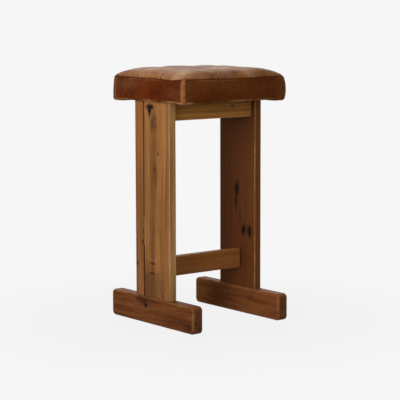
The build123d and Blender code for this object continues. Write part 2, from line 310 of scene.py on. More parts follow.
def dress(made: Object, material: Material, *nodes: str, slot: str | None = None) -> None:
    """Gives a new piece its finish and its body, and hides the solids that it stands for.

    Args:
        made: the piece.
        material: its finish.
        nodes: names of the solids that it replaces.
        slot: not used.
    """
    made.data.materials.clear()
    made.data.materials.append(material)
    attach(made, BODY)
    if nodes:
        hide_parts(*nodes)
    LOG.info("%s: %d faces", made.name, len(made.data.polygons))


def wear(material: Material, *nodes: str) -> None:
    """Gives carried-over solids a finish in every one of their material slots.

    Args:
        material: the finish.
        nodes: names of the solids.
    """
    for node in nodes:
        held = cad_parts[node]
        if not held.material_slots:
            held.data.materials.append(material)
        for slot in held.material_slots:
            slot.material = material
        LOG.info("%s: %s", node, material.name)


# Node trees


class Term:
    """Output of a node, which the signs of arithmetic turn into further Math nodes."""

    def __init__(self, nodes: "Nodes", socket: bpy.types.NodeSocket) -> None:
        """Keeps the socket and the tree that it belongs to."""
        self.nodes, self.socket = nodes, socket

    def __add__(self, other: object) -> "Term":
        """Adds a number or a term."""
        return self.nodes.calc("ADD", self, other)

    def __sub__(self, other: object) -> "Term":
        """Takes a number or a term away."""
        return self.nodes.calc("SUBTRACT", self, other)

    def __mul__(self, other: object) -> "Term":
        """Multiplies by a number or a term."""
        return self.nodes.calc("MULTIPLY", self, other)

    def __truediv__(self, other: object) -> "Term":
        """Divides by a number or a term."""
        return self.nodes.calc("DIVIDE", self, other)

    def __pow__(self, other: object) -> "Term":
        """Raises to a power."""
        return self.nodes.calc("POWER", self, other)


@dataclass(frozen=True)
class Noise:
    """Kind of cloudy noise: its cells for each mm, its detail and how rough that is.

    A value of along under 1 draws it out along the first axis of its place.
    """

    cells: float
    detail: float = 3.0
    rough: float = 0.55
    along: float = 1.0


class Nodes:
    """Node tree, with a short call for each kind of node that the finishes are made of."""

    def __init__(self, tree: bpy.types.NodeTree) -> None:
        """Takes a tree over and empties it."""
        self.tree = tree
        tree.nodes.clear()

    def add(self, kind: str, values: dict, **settings: object) -> bpy.types.Node:
        """Adds a node.

        Args:
            kind: the node's type name.
            values: number or name of each input, with its value or the term that feeds it.
            settings: properties of the node.

        Returns:
            The node.
        """
        node = self.tree.nodes.new(kind)
        for key, value in settings.items():
            setattr(node, key, value)
        for key, value in values.items():
            if isinstance(value, Term):
                self.tree.links.new(value.socket, node.inputs[key])
            else:
                node.inputs[key].default_value = value
        return node

    def make(self, kind: str, values: dict, output: int | str = 0, **settings: object) -> Term:
        """Adds a node as add does, and gives the output of that number or name."""
        return Term(self, self.add(kind, values, **settings).outputs[output])

    def calc(self, operation: str, *values: object) -> Term:
        """Adds a Math node."""
        return self.make("ShaderNodeMath", dict(enumerate(values)), operation=operation)

    def vector(self, operation: str, *values: object) -> Term:
        """Adds a Vector Math node."""
        return self.make("ShaderNodeVectorMath", dict(enumerate(values)), operation=operation)

    def highest(self, terms: list[Term]) -> Term:
        """Adds Math nodes for the largest of several terms."""
        return reduce(lambda first, second: self.calc("MAXIMUM", first, second), terms)

    def parts(self, value: Term) -> list[Term]:
        """Splits a vector into its three numbers."""
        return [Term(self, socket) for socket in self.add("ShaderNodeSeparateXYZ", {0: value}).outputs]

    def join(self, *values: object) -> Term:
        """Makes a vector of three numbers."""
        return self.make("ShaderNodeCombineXYZ", dict(enumerate(values)))

    def noise(self, place: Term, kind: Noise) -> Term:
        """Adds cloudy noise from 0 to 1.

        Args:
            place: where it is read.
            kind: its cells, detail and stretch.

        Returns:
            The noise.
        """
        if kind.along != 1:
            place = self.vector("MULTIPLY", place, (kind.along, 1.0, 1.0))
        values = {"Vector": place, "Scale": kind.cells, "Detail": kind.detail, "Roughness": kind.rough}
        return self.make("ShaderNodeTexNoise", values)

    def cells(self, place: Term, scale: float, feature: str) -> Term:
        """Adds a cell pattern whose cells measure about 1/scale mm."""
        values = {"Vector": place, "Scale": scale}
        return self.make("ShaderNodeTexVoronoi", values, "Distance", feature=feature)

    def ease(self, value: Term, low: float, high: float, start: float = 0, end: float = 1) -> Term:
        """Maps a number smoothly from one range to another."""
        values = dict(enumerate((value, low, high, start, end)))
        return self.make("ShaderNodeMapRange", values, interpolation_type="SMOOTHSTEP")

    def blend(self, share: object, first: object, second: object, how: str = "MIX") -> Term:
        """Mixes two colours by a share of the second.

        Args:
            share: share of the second colour.
            first: a term, a code or four linear values.
            second: the same for the other colour.
            how: name of the way in which they mix.

        Returns:
            The colour.
        """
        first, second = (linear(c) if isinstance(c, str) else c for c in (first, second))
        # Inputs 6 and 7 of the node are its colours, and output 2 is the colour that they make.
        values = {0: share, 6: first, 7: second}
        return self.make("ShaderNodeMix", values, 2, data_type="RGBA", blend_type=how)

    def layer(self, name: str) -> Term:
        """Reads a number that the mesh carries for each vertex."""
        return self.make("ShaderNodeAttribute", {}, "Fac", attribute_name=name)

    def relief(self, height: Term, depth: float, below: Term | None = None) -> Term:
        """Adds bump.

        Args:
            height: the bump's shape.
            depth: its depth in mm.
            below: another bump that it lies on.

        Returns:
            The bumpy normal.
        """
        under = {"Normal": below} if below else {}
        values = {"Height": height, "Distance": depth * MM, "Strength": 1.0} | under
        return self.make("ShaderNodeBump", values, "Normal")


class FinishTree(Nodes):
    """Node tree of one finish, whose places are measured in mm."""

    def __init__(self, name: str) -> None:
        """Starts a material with an empty tree.

        Args:
            name: the material's name.
        """
        self.material = bpy.data.materials.new(name)
        self.material.use_nodes = True
        super().__init__(self.material.node_tree)
        self.place = self.vector("MULTIPLY", self.make("ShaderNodeTexCoord", {}, "Object"), (1 / MM,) * 3)

    def finish(self, colour: Term, rough: Term, normal: Term, **fixed: object) -> Material:
        """Adds the surface shader.

        Args:
            colour: its colour.
            rough: its roughness.
            normal: its bumpy normal.
            fixed: values that are the same all over, by the names of their sockets.

        Returns:
            The material.
        """
        values = {"Base Color": colour, "Roughness": rough, "Normal": normal}
        values |= {name.replace("_", " "): value for name, value in fixed.items()}
        shader = self.make("ShaderNodeBsdfPrincipled", values)
        self.add("ShaderNodeOutputMaterial", {0: shader})
        return self.material


# Finishes


class Grain(Enum):
    """Which axes run along, across and through a board."""

    UPRIGHT = (2, 1, 0)
    FRONT_TO_REAR = (1, 2, 0)
    SIDE_TO_SIDE = (0, 2, 1)


@dataclass(frozen=True)
class Knot:
    """Knot, stain or crack in a board, or a painted shadow on it, as an ellipse in mm on its face.

    Depth is how dark its middle is, and swirl is how far the grain is pushed round it.
    """

    across: float
    along: float
    half_width: float
    half_length: float
    depth: float
    swirl: float = 0.0


@dataclass(frozen=True)
class Joint:
    """Dark line of the glue joint between two planks: open at the top, tight, then wide at the foot."""

    across: float
    open_above: float
    wide_below: float
    open_half_width: float = 2.3
    tight_half_width: float = 0.6
    wide_half_width: float = 3.4
    fade: float = 14.0
    unevenness: float = 0.5
    outer_share: float = 1.8
    inner_share: float = 0.8
    darkness: float = 0.92


@dataclass(frozen=True)
class TimberFinish:
    """Oiled hardwood cut from one log: ring bands round a heart line, streaks, pores and knots, with paler
    edges that are wear, and on the feet a painted highlight too.
    """

    name: str
    grain: Grain
    pale: str = "a37140"
    body: str = "84562e"
    dark: str = "5b391d"
    # Colour of edge wear, and of the painted highlight along the feet's rounded top edges.
    wear_and_highlight_colour: str = "bd8c5c"
    crack: str = "150d0a"
    glue: str = "3a190b"
    heart: tuple[float, float] = (120.0, 35.0)
    shift: tuple[float, float, float] = (0.0, 0.0, 0.0)
    knots: tuple[Knot, ...] = ()
    joint: Joint | None = None
    end_tint: tuple[float, float, float] = (0.78, 0.78, 0.78)
    # Tint of the narrow faces, which look across the grain: a paler, greyer tone of their own on the left
    # leg's wide plank, and painted light on the right leg.
    side_tone_and_light: tuple[float, float, float] = UNCHANGED
    gloss: float = 0.03
    wear_and_highlight_share: float = 0.5
    wear_and_highlight_width: float = 4.5
    wear_and_highlight_core: float = 0.8
    streaks: float = 1.0
    waviness: float = 0.14
    ring: float = 7.0
    wander: float = 46.0
    ring_share: float = 0.15
    fibre_share: float = 0.9
    pore_share: float = 0.5
    wave_depth: float = 0.5
    grain_depth: float = 0.14
    fibre_height: float = 0.7
    pore_height: float = 0.8
    knot_height: float = 1.5
    halo_share: float = 0.75
    raggedness: float = 2.2
    swirl_fall: float = 0.3
    streak_share: float = 0.25
    uneven: Noise = Noise(0.09)
    slow: Noise = Noise(0.016, 2)
    streak: Noise = Noise(0.075, 4, 0.6)
    fibre: Noise = Noise(0.75, 3, 0.65, 0.045)
    pore: Noise = Noise(2.2, 2, 0.5, 0.05)
    wear_and_highlight_patches: Noise = Noise(0.022, 2)
    streak_range: Range = (0.22, 0.8)
    pore_range: Range = (0.6, 0.72)
    body_range: Range = (0.0, 0.75)
    dark_range: Range = (0.5, 1.3)
    late_range: Range = (0.35, 0.9)
    ring_end_range: Range = (1.0, 0.93)
    turned_range: Range = (0.6, 0.9)
    rough_range: Range = (0.3, 1.4, 0.46, 0.7)
    knot_range: Range = (1.5, 0.35, 0.0)
    halo_range: Range = (4.5, 0.6, 0.0)
    patchy_range: Range = (0.3, 0.7, 0.15, 1.0)
    broken_range: Range = (0.25, 0.6, 0.55, 1.0)

    def build(self, nodes: tuple[str, ...]) -> Material:
        """Builds the finish for the solids that make up one board.

        Args:
            nodes: their names, whose common box gives the board's edges.

        Returns:
            The material.
        """
        tree = FinishTree(self.name)
        axes = tree.parts(tree.place)
        along, across, through = (axes[k] for k in self.grain.value)
        uneven = tree.noise(tree.place, self.uneven)
        marks = [self.knot(tree, across, along, uneven, knot) for knot in self.knots]
        bent = reduce(lambda place, push: place + push, [push for *_, push in marks if push], across)
        moved = tree.vector("ADD", tree.join(along, bent, through), self.shift)
        streak = tree.noise(moved, replace(self.streak, along=self.streak_share * self.waviness))
        fibre = tree.noise(moved, self.fibre)
        pores = tree.ease(tree.noise(moved, self.pore), *self.pore_range)
        tone = tree.ease(streak, *self.streak_range) * self.streaks
        tone = tone + self.late_wood(tree, moved) * (self.ring_share * self.streaks)
        tone = tone + (fibre - 0.5) * self.fibre_share
        colour = tree.blend(tree.ease(tone, *self.body_range), self.pale, self.body)
        colour = tree.blend(tree.ease(tone, *self.dark_range), colour, self.dark)
        colour = tree.blend(pores * self.pore_share, colour, self.dark)
        height = fibre * self.fibre_height - pores * self.pore_height
        if marks:
            near, halo = (tree.highest([mark[k] for mark in marks]) for k in (0, 1))
            colour = tree.blend(near, tree.blend(halo, colour, self.dark), self.crack)
            height = height - near * self.knot_height
        # Paler edges: wear, and on the feet a painted highlight.
        colour = tree.blend(self.worn_and_lit(tree, nodes, uneven), colour, self.wear_and_highlight_colour)
        looks = tree.parts(tree.make("ShaderNodeTexCoord", {}, "Normal"))
        # End faces take the end grain's tint; narrow faces take the side tint, which on the right leg is
        # painted light.
        for axis, tint in zip(self.grain.value, (self.end_tint, self.side_tone_and_light)):
            turned = tree.ease(tree.calc("ABSOLUTE", looks[axis]), *self.turned_range)
            colour = tree.blend(turned, colour, tree.blend(1.0, colour, tint + (1.0,), "MULTIPLY"))
        if self.joint:
            colour = tree.blend(self.joint_line(tree, across, along, uneven), colour, self.glue)
        rough = tree.ease(fibre + pores, *self.rough_range)
        normal = tree.relief(height, self.grain_depth, tree.relief(streak, self.wave_depth))
        return tree.finish(colour, rough, normal, Specular_IOR_Level=self.gloss)

    def late_wood(self, tree: FinishTree, moved: Term) -> Term:
        """Adds the rings round the heart line.

        Args:
            tree: the finish's tree.
            moved: places in the log, along, across and through the board.

        Returns:
            Share of dark late wood at each place.
        """
        _, across, through = tree.parts(moved)
        wander = (tree.noise(moved, replace(self.slow, along=self.waviness)) - 0.5) * self.wander
        sideways = across - self.heart[0] + wander
        inward = through - self.heart[1]
        ring = tree.calc("FRACT", tree.calc("SQRT", sideways**2 + inward**2) / self.ring)
        return tree.ease(ring, *self.late_range) * tree.ease(ring, *self.ring_end_range)

    def knot(
        self, tree: FinishTree, across: Term, along: Term, uneven: Term, knot: Knot
    ) -> tuple[Term, Term, Term | None]:
        """Adds one knot.

        Args:
            tree: the finish's tree.
            across: place across the board.
            along: place along the board.
            uneven: noise that roughens the outline.
            knot: the knot.

        Returns:
            How dark it is at each place, the stain round it, and how far it moves the grain, if it does.
        """
        offset = across - knot.across
        squares = (offset / knot.half_width) ** 2 + ((along - knot.along) / knot.half_length) ** 2
        ragged = squares + (uneven - 0.5) * self.raggedness
        near = tree.ease(ragged, *self.knot_range, knot.depth)
        halo = tree.ease(ragged, *self.halo_range, self.halo_share * knot.depth)
        push = offset / (squares * self.swirl_fall + 1.0) * -knot.swirl if knot.swirl else None
        return near, halo, push

    def worn_and_lit(self, tree: FinishTree, nodes: tuple[str, ...], uneven: Term) -> Term:
        """Adds the paler colour along the board's edges: wear, and on the feet, where the band is wide, a
        painted highlight.

        Args:
            tree: the finish's tree.
            nodes: names of the board's solids.
            uneven: noise that breaks the pale band up.

        Returns:
            Share of the pale edge colour at each place.
        """
        corners = [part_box(name) for name in nodes]
        low = np.min([box[0] for box in corners], axis=0) / MM
        high = np.max([box[1] for box in corners], axis=0) / MM
        middle, half = (low + high) / 2, (high - low) / 2
        away = tree.vector("ABSOLUTE", tree.vector("SUBTRACT", tree.place, tuple(middle)))
        x, y, z = tree.parts(tree.vector("SUBTRACT", tuple(half), away))
        outer = tree.calc("MINIMUM", tree.highest([x, y]), z)
        edge = tree.highest([tree.calc("MINIMUM", x, y), outer])
        share = tree.ease(edge, self.wear_and_highlight_width, self.wear_and_highlight_core, 0.0, self.wear_and_highlight_share)
        patchy = tree.ease(tree.noise(tree.place, self.wear_and_highlight_patches), *self.patchy_range)
        return share * (patchy * tree.ease(uneven, *self.broken_range))

    def joint_line(self, tree: FinishTree, across: Term, along: Term, uneven: Term) -> Term:
        """Adds the joint's dark line.

        Args:
            tree: the finish's tree.
            across: place across the board.
            along: place along the board.
            uneven: noise that roughens the line.

        Returns:
            Share of the line's colour at each place.
        """
        joint, tight = self.joint, self.joint.tight_half_width
        top_end, foot_end = joint.open_above - joint.fade, joint.wide_below - joint.fade
        top = tree.ease(along, top_end, joint.open_above, 0.0, joint.open_half_width - tight)
        foot = tree.ease(along, joint.wide_below, foot_end, 0.0, joint.wide_half_width - tight)
        away = tree.calc("ABSOLUTE", across - joint.across)
        share = away / (top + foot + tight) + uneven * joint.unevenness
        return tree.ease(share, joint.outer_share, joint.inner_share, 0.0, joint.darkness)


@dataclass(frozen=True)
class LeatherFinish:
    """Waxed pull-up leather: cloudy tone, fine grain, creases, paler wear on raised places that also carries
    painted highlights, and painted shade in seams and folds.
    """

    name: str
    deep: str = "431805"
    body: str = "662b09"
    # Colour of wear, also used for the painted highlights, sheen and reflections.
    wear_and_highlight_colour: str = "a8764a"
    # Colour of the painted shade in seams, grooves and under the rim.
    painted_shade_colour: str = "1d0c04"
    gloss: float = 0.42
    gloss_range: float = 0.16
    sheen: float = 0.02
    contrast: float = 0.2
    cloud_share: float = 0.65
    mottle_share: float = 0.35
    broken_mottle: float = 0.7
    broken_fleck: float = 0.5
    broken_range: Range = (0.3, 0.8, 0.4, 1.0)
    grain_range: Range = (0.0, 0.28)
    crease_range: Range = (0.0, 0.07)
    shine_range: Range = (0.3, 0.7)
    grain_cells: float = 0.9
    crease_cells: float = 0.085
    crease_warp: float = 14.0
    soft_depth: float = 0.5
    crease_depth: float = 0.12
    grain_depth: float = 0.05
    cloud: Noise = Noise(0.014, 3, 0.5)
    mottle: Noise = Noise(0.08, 3, 0.5)
    fleck: Noise = Noise(0.9, 2, 0.6)

    def build(self) -> Material:
        """Builds the finish, which reads two layers that each mesh carries: paler wear with painted
        highlights, and painted shade.

        Returns:
            The material.
        """
        tree = FinishTree(self.name)
        kinds = (self.cloud, self.mottle, self.fleck)
        cloud, mottle, fleck = (tree.noise(tree.place, kind) for kind in kinds)
        tone = cloud * self.cloud_share + mottle * self.mottle_share
        share = tree.ease(tone, 0.5 - self.contrast, 0.5 + self.contrast)
        colour = tree.blend(share, self.deep, self.body)
        broken = mottle * self.broken_mottle + fleck * self.broken_fleck
        broken = tree.ease(broken, *self.broken_range)
        # The first layer pales the leather: wear, and painted highlights, sheen and reflections.
        colour = tree.blend(tree.layer("rub") * broken, colour, self.wear_and_highlight_colour)
        # The second layer darkens the leather with painted shade, and roughens it too.
        fold = tree.layer("fold")
        colour = tree.blend(fold, colour, self.painted_shade_colour)
        grain = tree.cells(tree.place, self.grain_cells, "DISTANCE_TO_EDGE")
        grain = tree.ease(grain, *self.grain_range)
        pushed = tree.vector("MULTIPLY", tree.join(mottle, cloud, fleck), (self.crease_warp,) * 3)
        warped = tree.vector("ADD", tree.place, pushed)
        creases = tree.cells(warped, self.crease_cells, "DISTANCE_TO_EDGE")
        creases = tree.ease(creases, *self.crease_range)
        lined = tree.relief(creases, self.crease_depth, tree.relief(mottle, self.soft_depth))
        rough = tree.ease(mottle, *self.shine_range, self.gloss, self.gloss + self.gloss_range) + fold
        normal = tree.relief(grain, self.grain_depth, lined)
        return tree.finish(colour, rough, normal, Specular_IOR_Level=self.sheen)


@dataclass(frozen=True)
class PlainFinish:
    """Finish of a plain stuff whose body shows cells, fibres or layers."""

    name: str
    light: str
    dark: str
    cell: float
    stretch: tuple[float, float, float] = UNCHANGED
    depth: float = 0.2
    rough: float = 0.8
    metal: float = 0.0
    rough_range: float = 0.08
    cell_share: float = 0.5
    noise_share: float = 0.6
    noise: Noise = Noise(0.6, 4, 0.65)
    tone_range: Range = (0.3, 0.75)
    shine_range: Range = (0.3, 0.7)

    def build(self) -> Material:
        """Builds the finish.

        Returns:
            The material.
        """
        tree = FinishTree(self.name)
        stretched = tree.vector("MULTIPLY", tree.place, self.stretch)
        cells = tree.cells(stretched, 1 / self.cell, "F1")
        noise = tree.noise(stretched, replace(self.noise, cells=self.noise.cells / self.cell))
        tone = cells * self.cell_share + noise * self.noise_share
        colour = tree.blend(tree.ease(tone, *self.tone_range), self.light, self.dark)
        lowest, highest = self.rough - self.rough_range, self.rough + self.rough_range
        rough = tree.ease(noise, *self.shine_range, lowest, highest)
        return tree.finish(colour, rough, tree.relief(tone, self.depth), Metallic=self.metal)


# Seat


class Side(Enum):
    """A side of the seat: whether it faces along x, and which way."""

    FRONT = (False, -1)
    REAR = (False, 1)
    LEFT = (True, -1)
    RIGHT = (True, 1)


@dataclass(frozen=True)
class Sag:
    """How far the seam round the seat sags on one side: evenly, and deeper round one place."""

    even: float
    deeper: float
    place: float
    reach: float


@dataclass(frozen=True)
class LightAndTonePatch:
    """Patch of paler or darker leather: its middle in two coordinates, its reach and its tone.

    A tone above 0 pales the leather and one below 0 darkens it; on the crown these are painted highlights
    and painted shade, and on the left band a pale one is painted sheen.
    """

    first: float
    second: float
    reach: float
    tone: float


@dataclass(frozen=True)
class SeatForm:
    """Shared shape of the seat: its crown, its seams and how far each seam sags."""

    rim_x: float = 181.0
    rim_y: float = 166.5
    face_x: float = 184.0
    face_y: float = 169.5
    underside: float = 650.0
    upright_top: float = 668.0
    seam_level: float = 717.6
    rim_level: float = 717.8
    lean_in: float = 3.0
    over_seam_share: float = 1.02
    crown_rise: float = 24.2
    crown_power: float = 4.0
    crown_round: float = 0.35
    puff_rise: float = 6.0
    leather: float = 2.0
    seam_share: float = 1 / 3
    shoulder_share: float = 0.94
    shoulder_rows: int = 5
    shoulder_gap: float = 1.6
    groove_depth: float = 2.2
    groove_width: float = 1.6
    tuck: float = 1.4
    tuck_reach: float = 1.5
    swell_above: float = 2.0
    swell_lost: float = 3.0
    swell_power: float = 0.6
    sag_power: float = 6.0
    sag_reach: float = 20.0
    sags: dict[Side, Sag] = field(
        default_factory=lambda: {
            Side.LEFT: Sag(1.2, 3.4, -104.0, 48.0),
            Side.RIGHT: Sag(1.0, 1.8, 30.0, 80.0),
            Side.FRONT: Sag(1.2, 1.6, -20.0, 110.0),
            Side.REAR: Sag(1.0, 1.6, 50.0, 90.0),
        }
    )
    corners: dict[tuple[int, int], float] = field(
        default_factory=lambda: {(-1, -1): 1.0, (1, -1): 3.2, (-1, 1): 0.0, (1, 1): 1.0}
    )

    def rise(self, share: Points) -> Points:
        """Crown's height, as a share, at a share of the half width."""
        return np.clip(1 - np.abs(share) ** self.crown_power, 0, 1) ** self.crown_round

    def unrise(self, height: Points) -> Points:
        """Share of the half width at which the crown has a height."""
        return (1 - height ** (1 / self.crown_round)) ** (1 / self.crown_power)

    def puff(self, share: Points) -> Points:
        """Fullness of a square across its width: 0 at its seams and 1 midway."""
        middle = np.where(np.abs(share) > self.seam_share, 2 * self.seam_share, 0.0)
        return np.clip(1 - ((np.abs(share) - middle) / self.seam_share) ** 2, 0, 1)

    def fullness(self, z: Points) -> Points:
        """Swell of the side.

        Args:
            z: heights.

        Returns:
            How far it swells at each height: 0 at its two ends, near 1 between them.
        """
        tall = self.seam_level - self.underside - self.swell_lost
        share = np.clip((z - self.underside - self.swell_above) / tall, 0, 1)
        return np.sin(math.pi * share) ** self.swell_power

    def lean(self, z: Points) -> Points:
        """How far the side leans in at a height, on its way up to the seam."""
        share = (z - self.upright_top) / (self.seam_level - self.upright_top)
        return self.lean_in * np.clip(share, 0, self.over_seam_share) ** 2

    def side_drop(self, side: Side, along: Points) -> Points:
        """Sag of the seam round the seat.

        Args:
            side: the side of the seat.
            along: places along that side.

        Returns:
            How far the seam hangs at each place.
        """
        half = self.rim_y if side.value[0] else self.rim_x
        sag = self.sags[side]
        ends = 1 - np.clip(np.abs(along) / half, 0, 1) ** self.sag_power
        return (sag.even + sag.deeper * bell(along - sag.place, sag.reach)) * ends

    def rim_drop(self, x: Points, y: Points) -> Points:
        """Sag of the top with the seam round it, which fades inwards.

        Args:
            x: places from left to right.
            y: places from front to rear.

        Returns:
            How far the top sags at each place.
        """
        total = 0
        for side in self.sags:
            faces_x, way = side.value
            along, out, half = (y, x, self.rim_x) if faces_x else (x, y, self.rim_y)
            total = total + self.side_drop(side, along) * np.exp(-(half - way * out) / self.sag_reach)
        return total

    def third(self, outer: bool, fine: float, step: float) -> Points:
        """Stations across one row of squares, as shares of the half width along x.

        Args:
            outer: whether the row reaches the rim, and so has its rounded shoulder.
            fine: the gap at a seam in mm.
            step: the widest gap in mm.

        Returns:
            Rising shares, from -1/3 to 1/3, or from 1/3 to 1.
        """
        if not outer:
            width = 2 * self.seam_share * self.rim_x
            return graded(width, fine, step) / self.rim_x - self.seam_share
        width = (self.shoulder_share - self.seam_share) * self.rim_x
        flat = graded(width, fine, step, both=False) / self.rim_x + self.seam_share
        top = self.rise(np.array(self.shoulder_share))
        count = int(top * self.crown_rise / min(step, self.shoulder_gap * fine))
        return np.concatenate([flat[:-1], self.unrise(np.linspace(top, 0, max(self.shoulder_rows, count)))])

    def row(self, order: int, fine: float, step: float) -> Points:
        """Stations of the low (-1), middle (0) or high (1) row of squares."""
        shares = self.third(bool(order), fine, step)
        return -shares[::-1] if order < 0 else shares

    def rows(self, fine: float, step: float) -> Points:
        """Stations across all three rows of squares, with each seam's once."""
        return np.concatenate([self.row(k, fine, step)[(k > -1) :] for k in ROW_NAMES])


@dataclass
class TopCover:
    """Nine leather squares sewn edge to edge over the crown, swollen by a cloth simulation."""

    form: SeatForm
    finish: Material
    fine: float = 0.7
    step: float = 4.2
    coarse: float = 3.0
    coarse_step: float = 6.5
    start_puff: float = 2.6
    frames: int = 20
    most_travel: float = 1.5
    cloth: dict[str, float] = field(
        default_factory=lambda: {
            "quality": 6,
            "mass": 0.3,
            "tension_stiffness": 22,
            "compression_stiffness": 22,
            "shear_stiffness": 10,
            "bending_stiffness": 0.8,
            "shrink_min": -0.018,
            "use_pressure": True,
            "uniform_pressure_force": 4.0,
        }
    )
    cross_depth: float = 1.3
    cross_reach: float = 9.0
    pucker_height: float = 0.3
    pucker_reach: float = 8.0
    puckers: tuple[Gather, Gather] = (Gather(0.62, 1.3, 0.11), Gather(0.59, 1.1, 0.13))
    crease_height: float = 0.55
    creases: tuple[int, float, float] = (11, 130, 22)
    tuck_width: float = 6.0
    tuck_share: float = 0.9
    # A paler line beside each seam: wear, and a painted highlight on the ridge there.
    seam_wear_and_highlight: float = 0.2
    seam_wear_and_highlight_place: float = 4.0
    seam_wear_and_highlight_reach: float = 3.0
    rim_rub: float = 0.12
    rim_rub_share: float = 0.55
    rim_rub_above: float = 9.0
    rim_rub_range: Range = (1.0, 0.2)
    # Painted shade in the seam grooves and where the rim tucks in.
    seam_shade: float = 0.95
    seam_shade_reach: float = 1.3
    rim_shade: float = 0.5
    rim_shade_reach: float = 0.5
    # Pale patches are painted highlights on the crown, and the dark ones painted shade along its front rim.
    light_and_tone_patches: tuple[LightAndTonePatch, ...] = (
        LightAndTonePatch(-157, -130, 37, 0.75),
        LightAndTonePatch(-140, -50, 40, 0.4),
        LightAndTonePatch(-140, 40, 44, 0.45),
        LightAndTonePatch(-140, 124, 44, 0.35),
        LightAndTonePatch(-6, -94, 42, 0.6),
        LightAndTonePatch(110, -88, 46, 0.6),
        LightAndTonePatch(90, -20, 56, 0.3),
        LightAndTonePatch(-80, -166, 20, -0.24),
        LightAndTonePatch(0, -166, 20, -0.2),
        LightAndTonePatch(112, -150, 36, -0.12),
        LightAndTonePatch(-138, -165, 18, -0.16),
        LightAndTonePatch(-74, -138, 20, 0.32),
        LightAndTonePatch(-18, -141, 20, 0.32),
        LightAndTonePatch(60, -147, 24, 0.32),
    )
    swelling: tuple[Points, Points] | None = None

    def base(self, across: Points, deep: Points, puff: float) -> Points:
        """Points of the crown over two lists of shares, before seams and creases.

        Args:
            across: shares of the half width along x.
            deep: shares of the half width along y.
            puff: height of each square's fullness.

        Returns:
            A grid of points.
        """
        form = self.form
        u, v = np.meshgrid(across, deep, indexing="ij")
        z = form.rim_level + form.crown_rise * form.rise(u) * form.rise(v)
        z = z + puff * form.puff(u) * form.puff(v)
        return np.stack([u * form.rim_x, v * form.rim_y, z], -1)

    def swell(self) -> None:
        """Blows the cover up as one cloth held along its seams, and keeps how far each point went."""
        shares = self.form.rows(self.coarse, self.coarse_step)
        start = self.base(shares, shares, self.start_puff)
        quads = grid_faces(np.arange(shares.size**2).reshape(shares.size, shares.size))
        mesh = bpy.data.meshes.new("cover_cloth")
        mesh.from_pydata((start.reshape(-1, 3) * MM).tolist(), [], quads.tolist())
        cloth = linked("cover_cloth", mesh)
        sewn = np.isclose(np.abs(shares), self.form.seam_share) | np.isclose(np.abs(shares), 1.0)
        held = np.flatnonzero((sewn[:, None] | sewn[None, :]).ravel()).tolist()
        cloth.vertex_groups.new(name="sewn").add(held, 1.0, "REPLACE")
        modifier = cloth.modifiers.new("cloth", "CLOTH")
        for name, value in self.cloth.items():
            setattr(modifier.settings, name, value)
        modifier.settings.effector_weights.gravity = 0
        modifier.settings.vertex_group_mass = "sewn"
        modifier.point_cache.frame_end = self.frames
        scene = bpy.context.scene
        for number in range(1, self.frames + 1):
            scene.frame_set(number)
        shown = cloth.evaluated_get(bpy.context.evaluated_depsgraph_get())
        ended = np.empty(start.size)
        shown.data.vertices.foreach_get("co", ended)
        travel = ended.reshape(start.shape) / MM - start
        length = np.linalg.norm(travel, axis=2, keepdims=True)
        capped = self.most_travel * np.tanh(length / self.most_travel)
        self.swelling = shares, travel * capped / np.maximum(length, TINY)
        bpy.data.objects.remove(cloth)
        scene.frame_set(1)
        LOG.info("cover swelled by up to %.1f mm", float(length.max()))

    def surface(self, across: Points, deep: Points) -> tuple[Points, Layers]:
        """Finished outer face over two lists of shares.

        Args:
            across: shares of the half width along x.
            deep: shares of the half width along y.

        Returns:
            A grid of points, and at each its paler wear with painted highlights, and its painted shade.
        """
        form = self.form
        grid = self.base(across, deep, self.start_puff if self.swelling else form.puff_rise)
        if self.swelling:
            shares, travel = self.swelling
            part = hermite(shares, travel, across).transpose(1, 0, 2)
            grid = grid + hermite(shares, part, deep).transpose(1, 0, 2)
        u, v = np.meshgrid(across, deep, indexing="ij")
        x, y = u * form.rim_x, v * form.rim_y
        seam_x = np.abs(np.abs(x) - form.seam_share * form.rim_x)
        seam_y = np.abs(np.abs(y) - form.seam_share * form.rim_y)
        groove = np.maximum(bell(seam_x, form.groove_width), bell(seam_y, form.groove_width))
        cross = bell(np.hypot(seam_x, seam_y), self.cross_reach)
        pucker = bell(seam_x, self.pucker_reach) * self.puckers[0].at(y)
        pucker = pucker + bell(seam_y, self.pucker_reach) * self.puckers[1].at(x)
        crease = Ripple(*self.creases).at(x, y) * form.rise(u) * form.rise(v)
        lift = self.pucker_height * pucker * (1 - groove) + self.crease_height * crease
        drop = form.rim_drop(x, y)
        grid[..., 2] += lift - form.groove_depth * groove - self.cross_depth * cross - drop
        edge = np.minimum((1 - np.abs(u)) * form.rim_x, (1 - np.abs(v)) * form.rim_y)
        above = np.maximum(grid[..., 2] - form.rim_level + drop, 0)
        tuck = form.tuck * bell(above, form.tuck_reach) * ease(self.tuck_width, 0.0, edge)
        grid[..., 0] -= np.sign(u) * tuck * ease(self.tuck_share, 1.0, np.abs(u))
        grid[..., 1] -= np.sign(v) * tuck * ease(self.tuck_share, 1.0, np.abs(v))
        near = np.minimum(seam_x, seam_y)
        outer = ease(self.rim_rub_share, 1.0, np.maximum(np.abs(u), np.abs(v)))
        outer = outer * ease(*self.rim_rub_range, ease(self.rim_rub_above, 0.0, above))
        # Paler beside the seams, which is wear with a painted highlight, and at the rim from wear.
        rub = self.seam_wear_and_highlight * bell(near - self.seam_wear_and_highlight_place, self.seam_wear_and_highlight_reach) + self.rim_rub * outer
        # Painted shade in the seam grooves and in the tuck under the rim.
        tucked = bell(tuck - form.tuck, self.rim_shade_reach) * (edge < form.lean_in)
        fold = self.seam_shade * bell(near, self.seam_shade_reach) + self.rim_shade * tucked
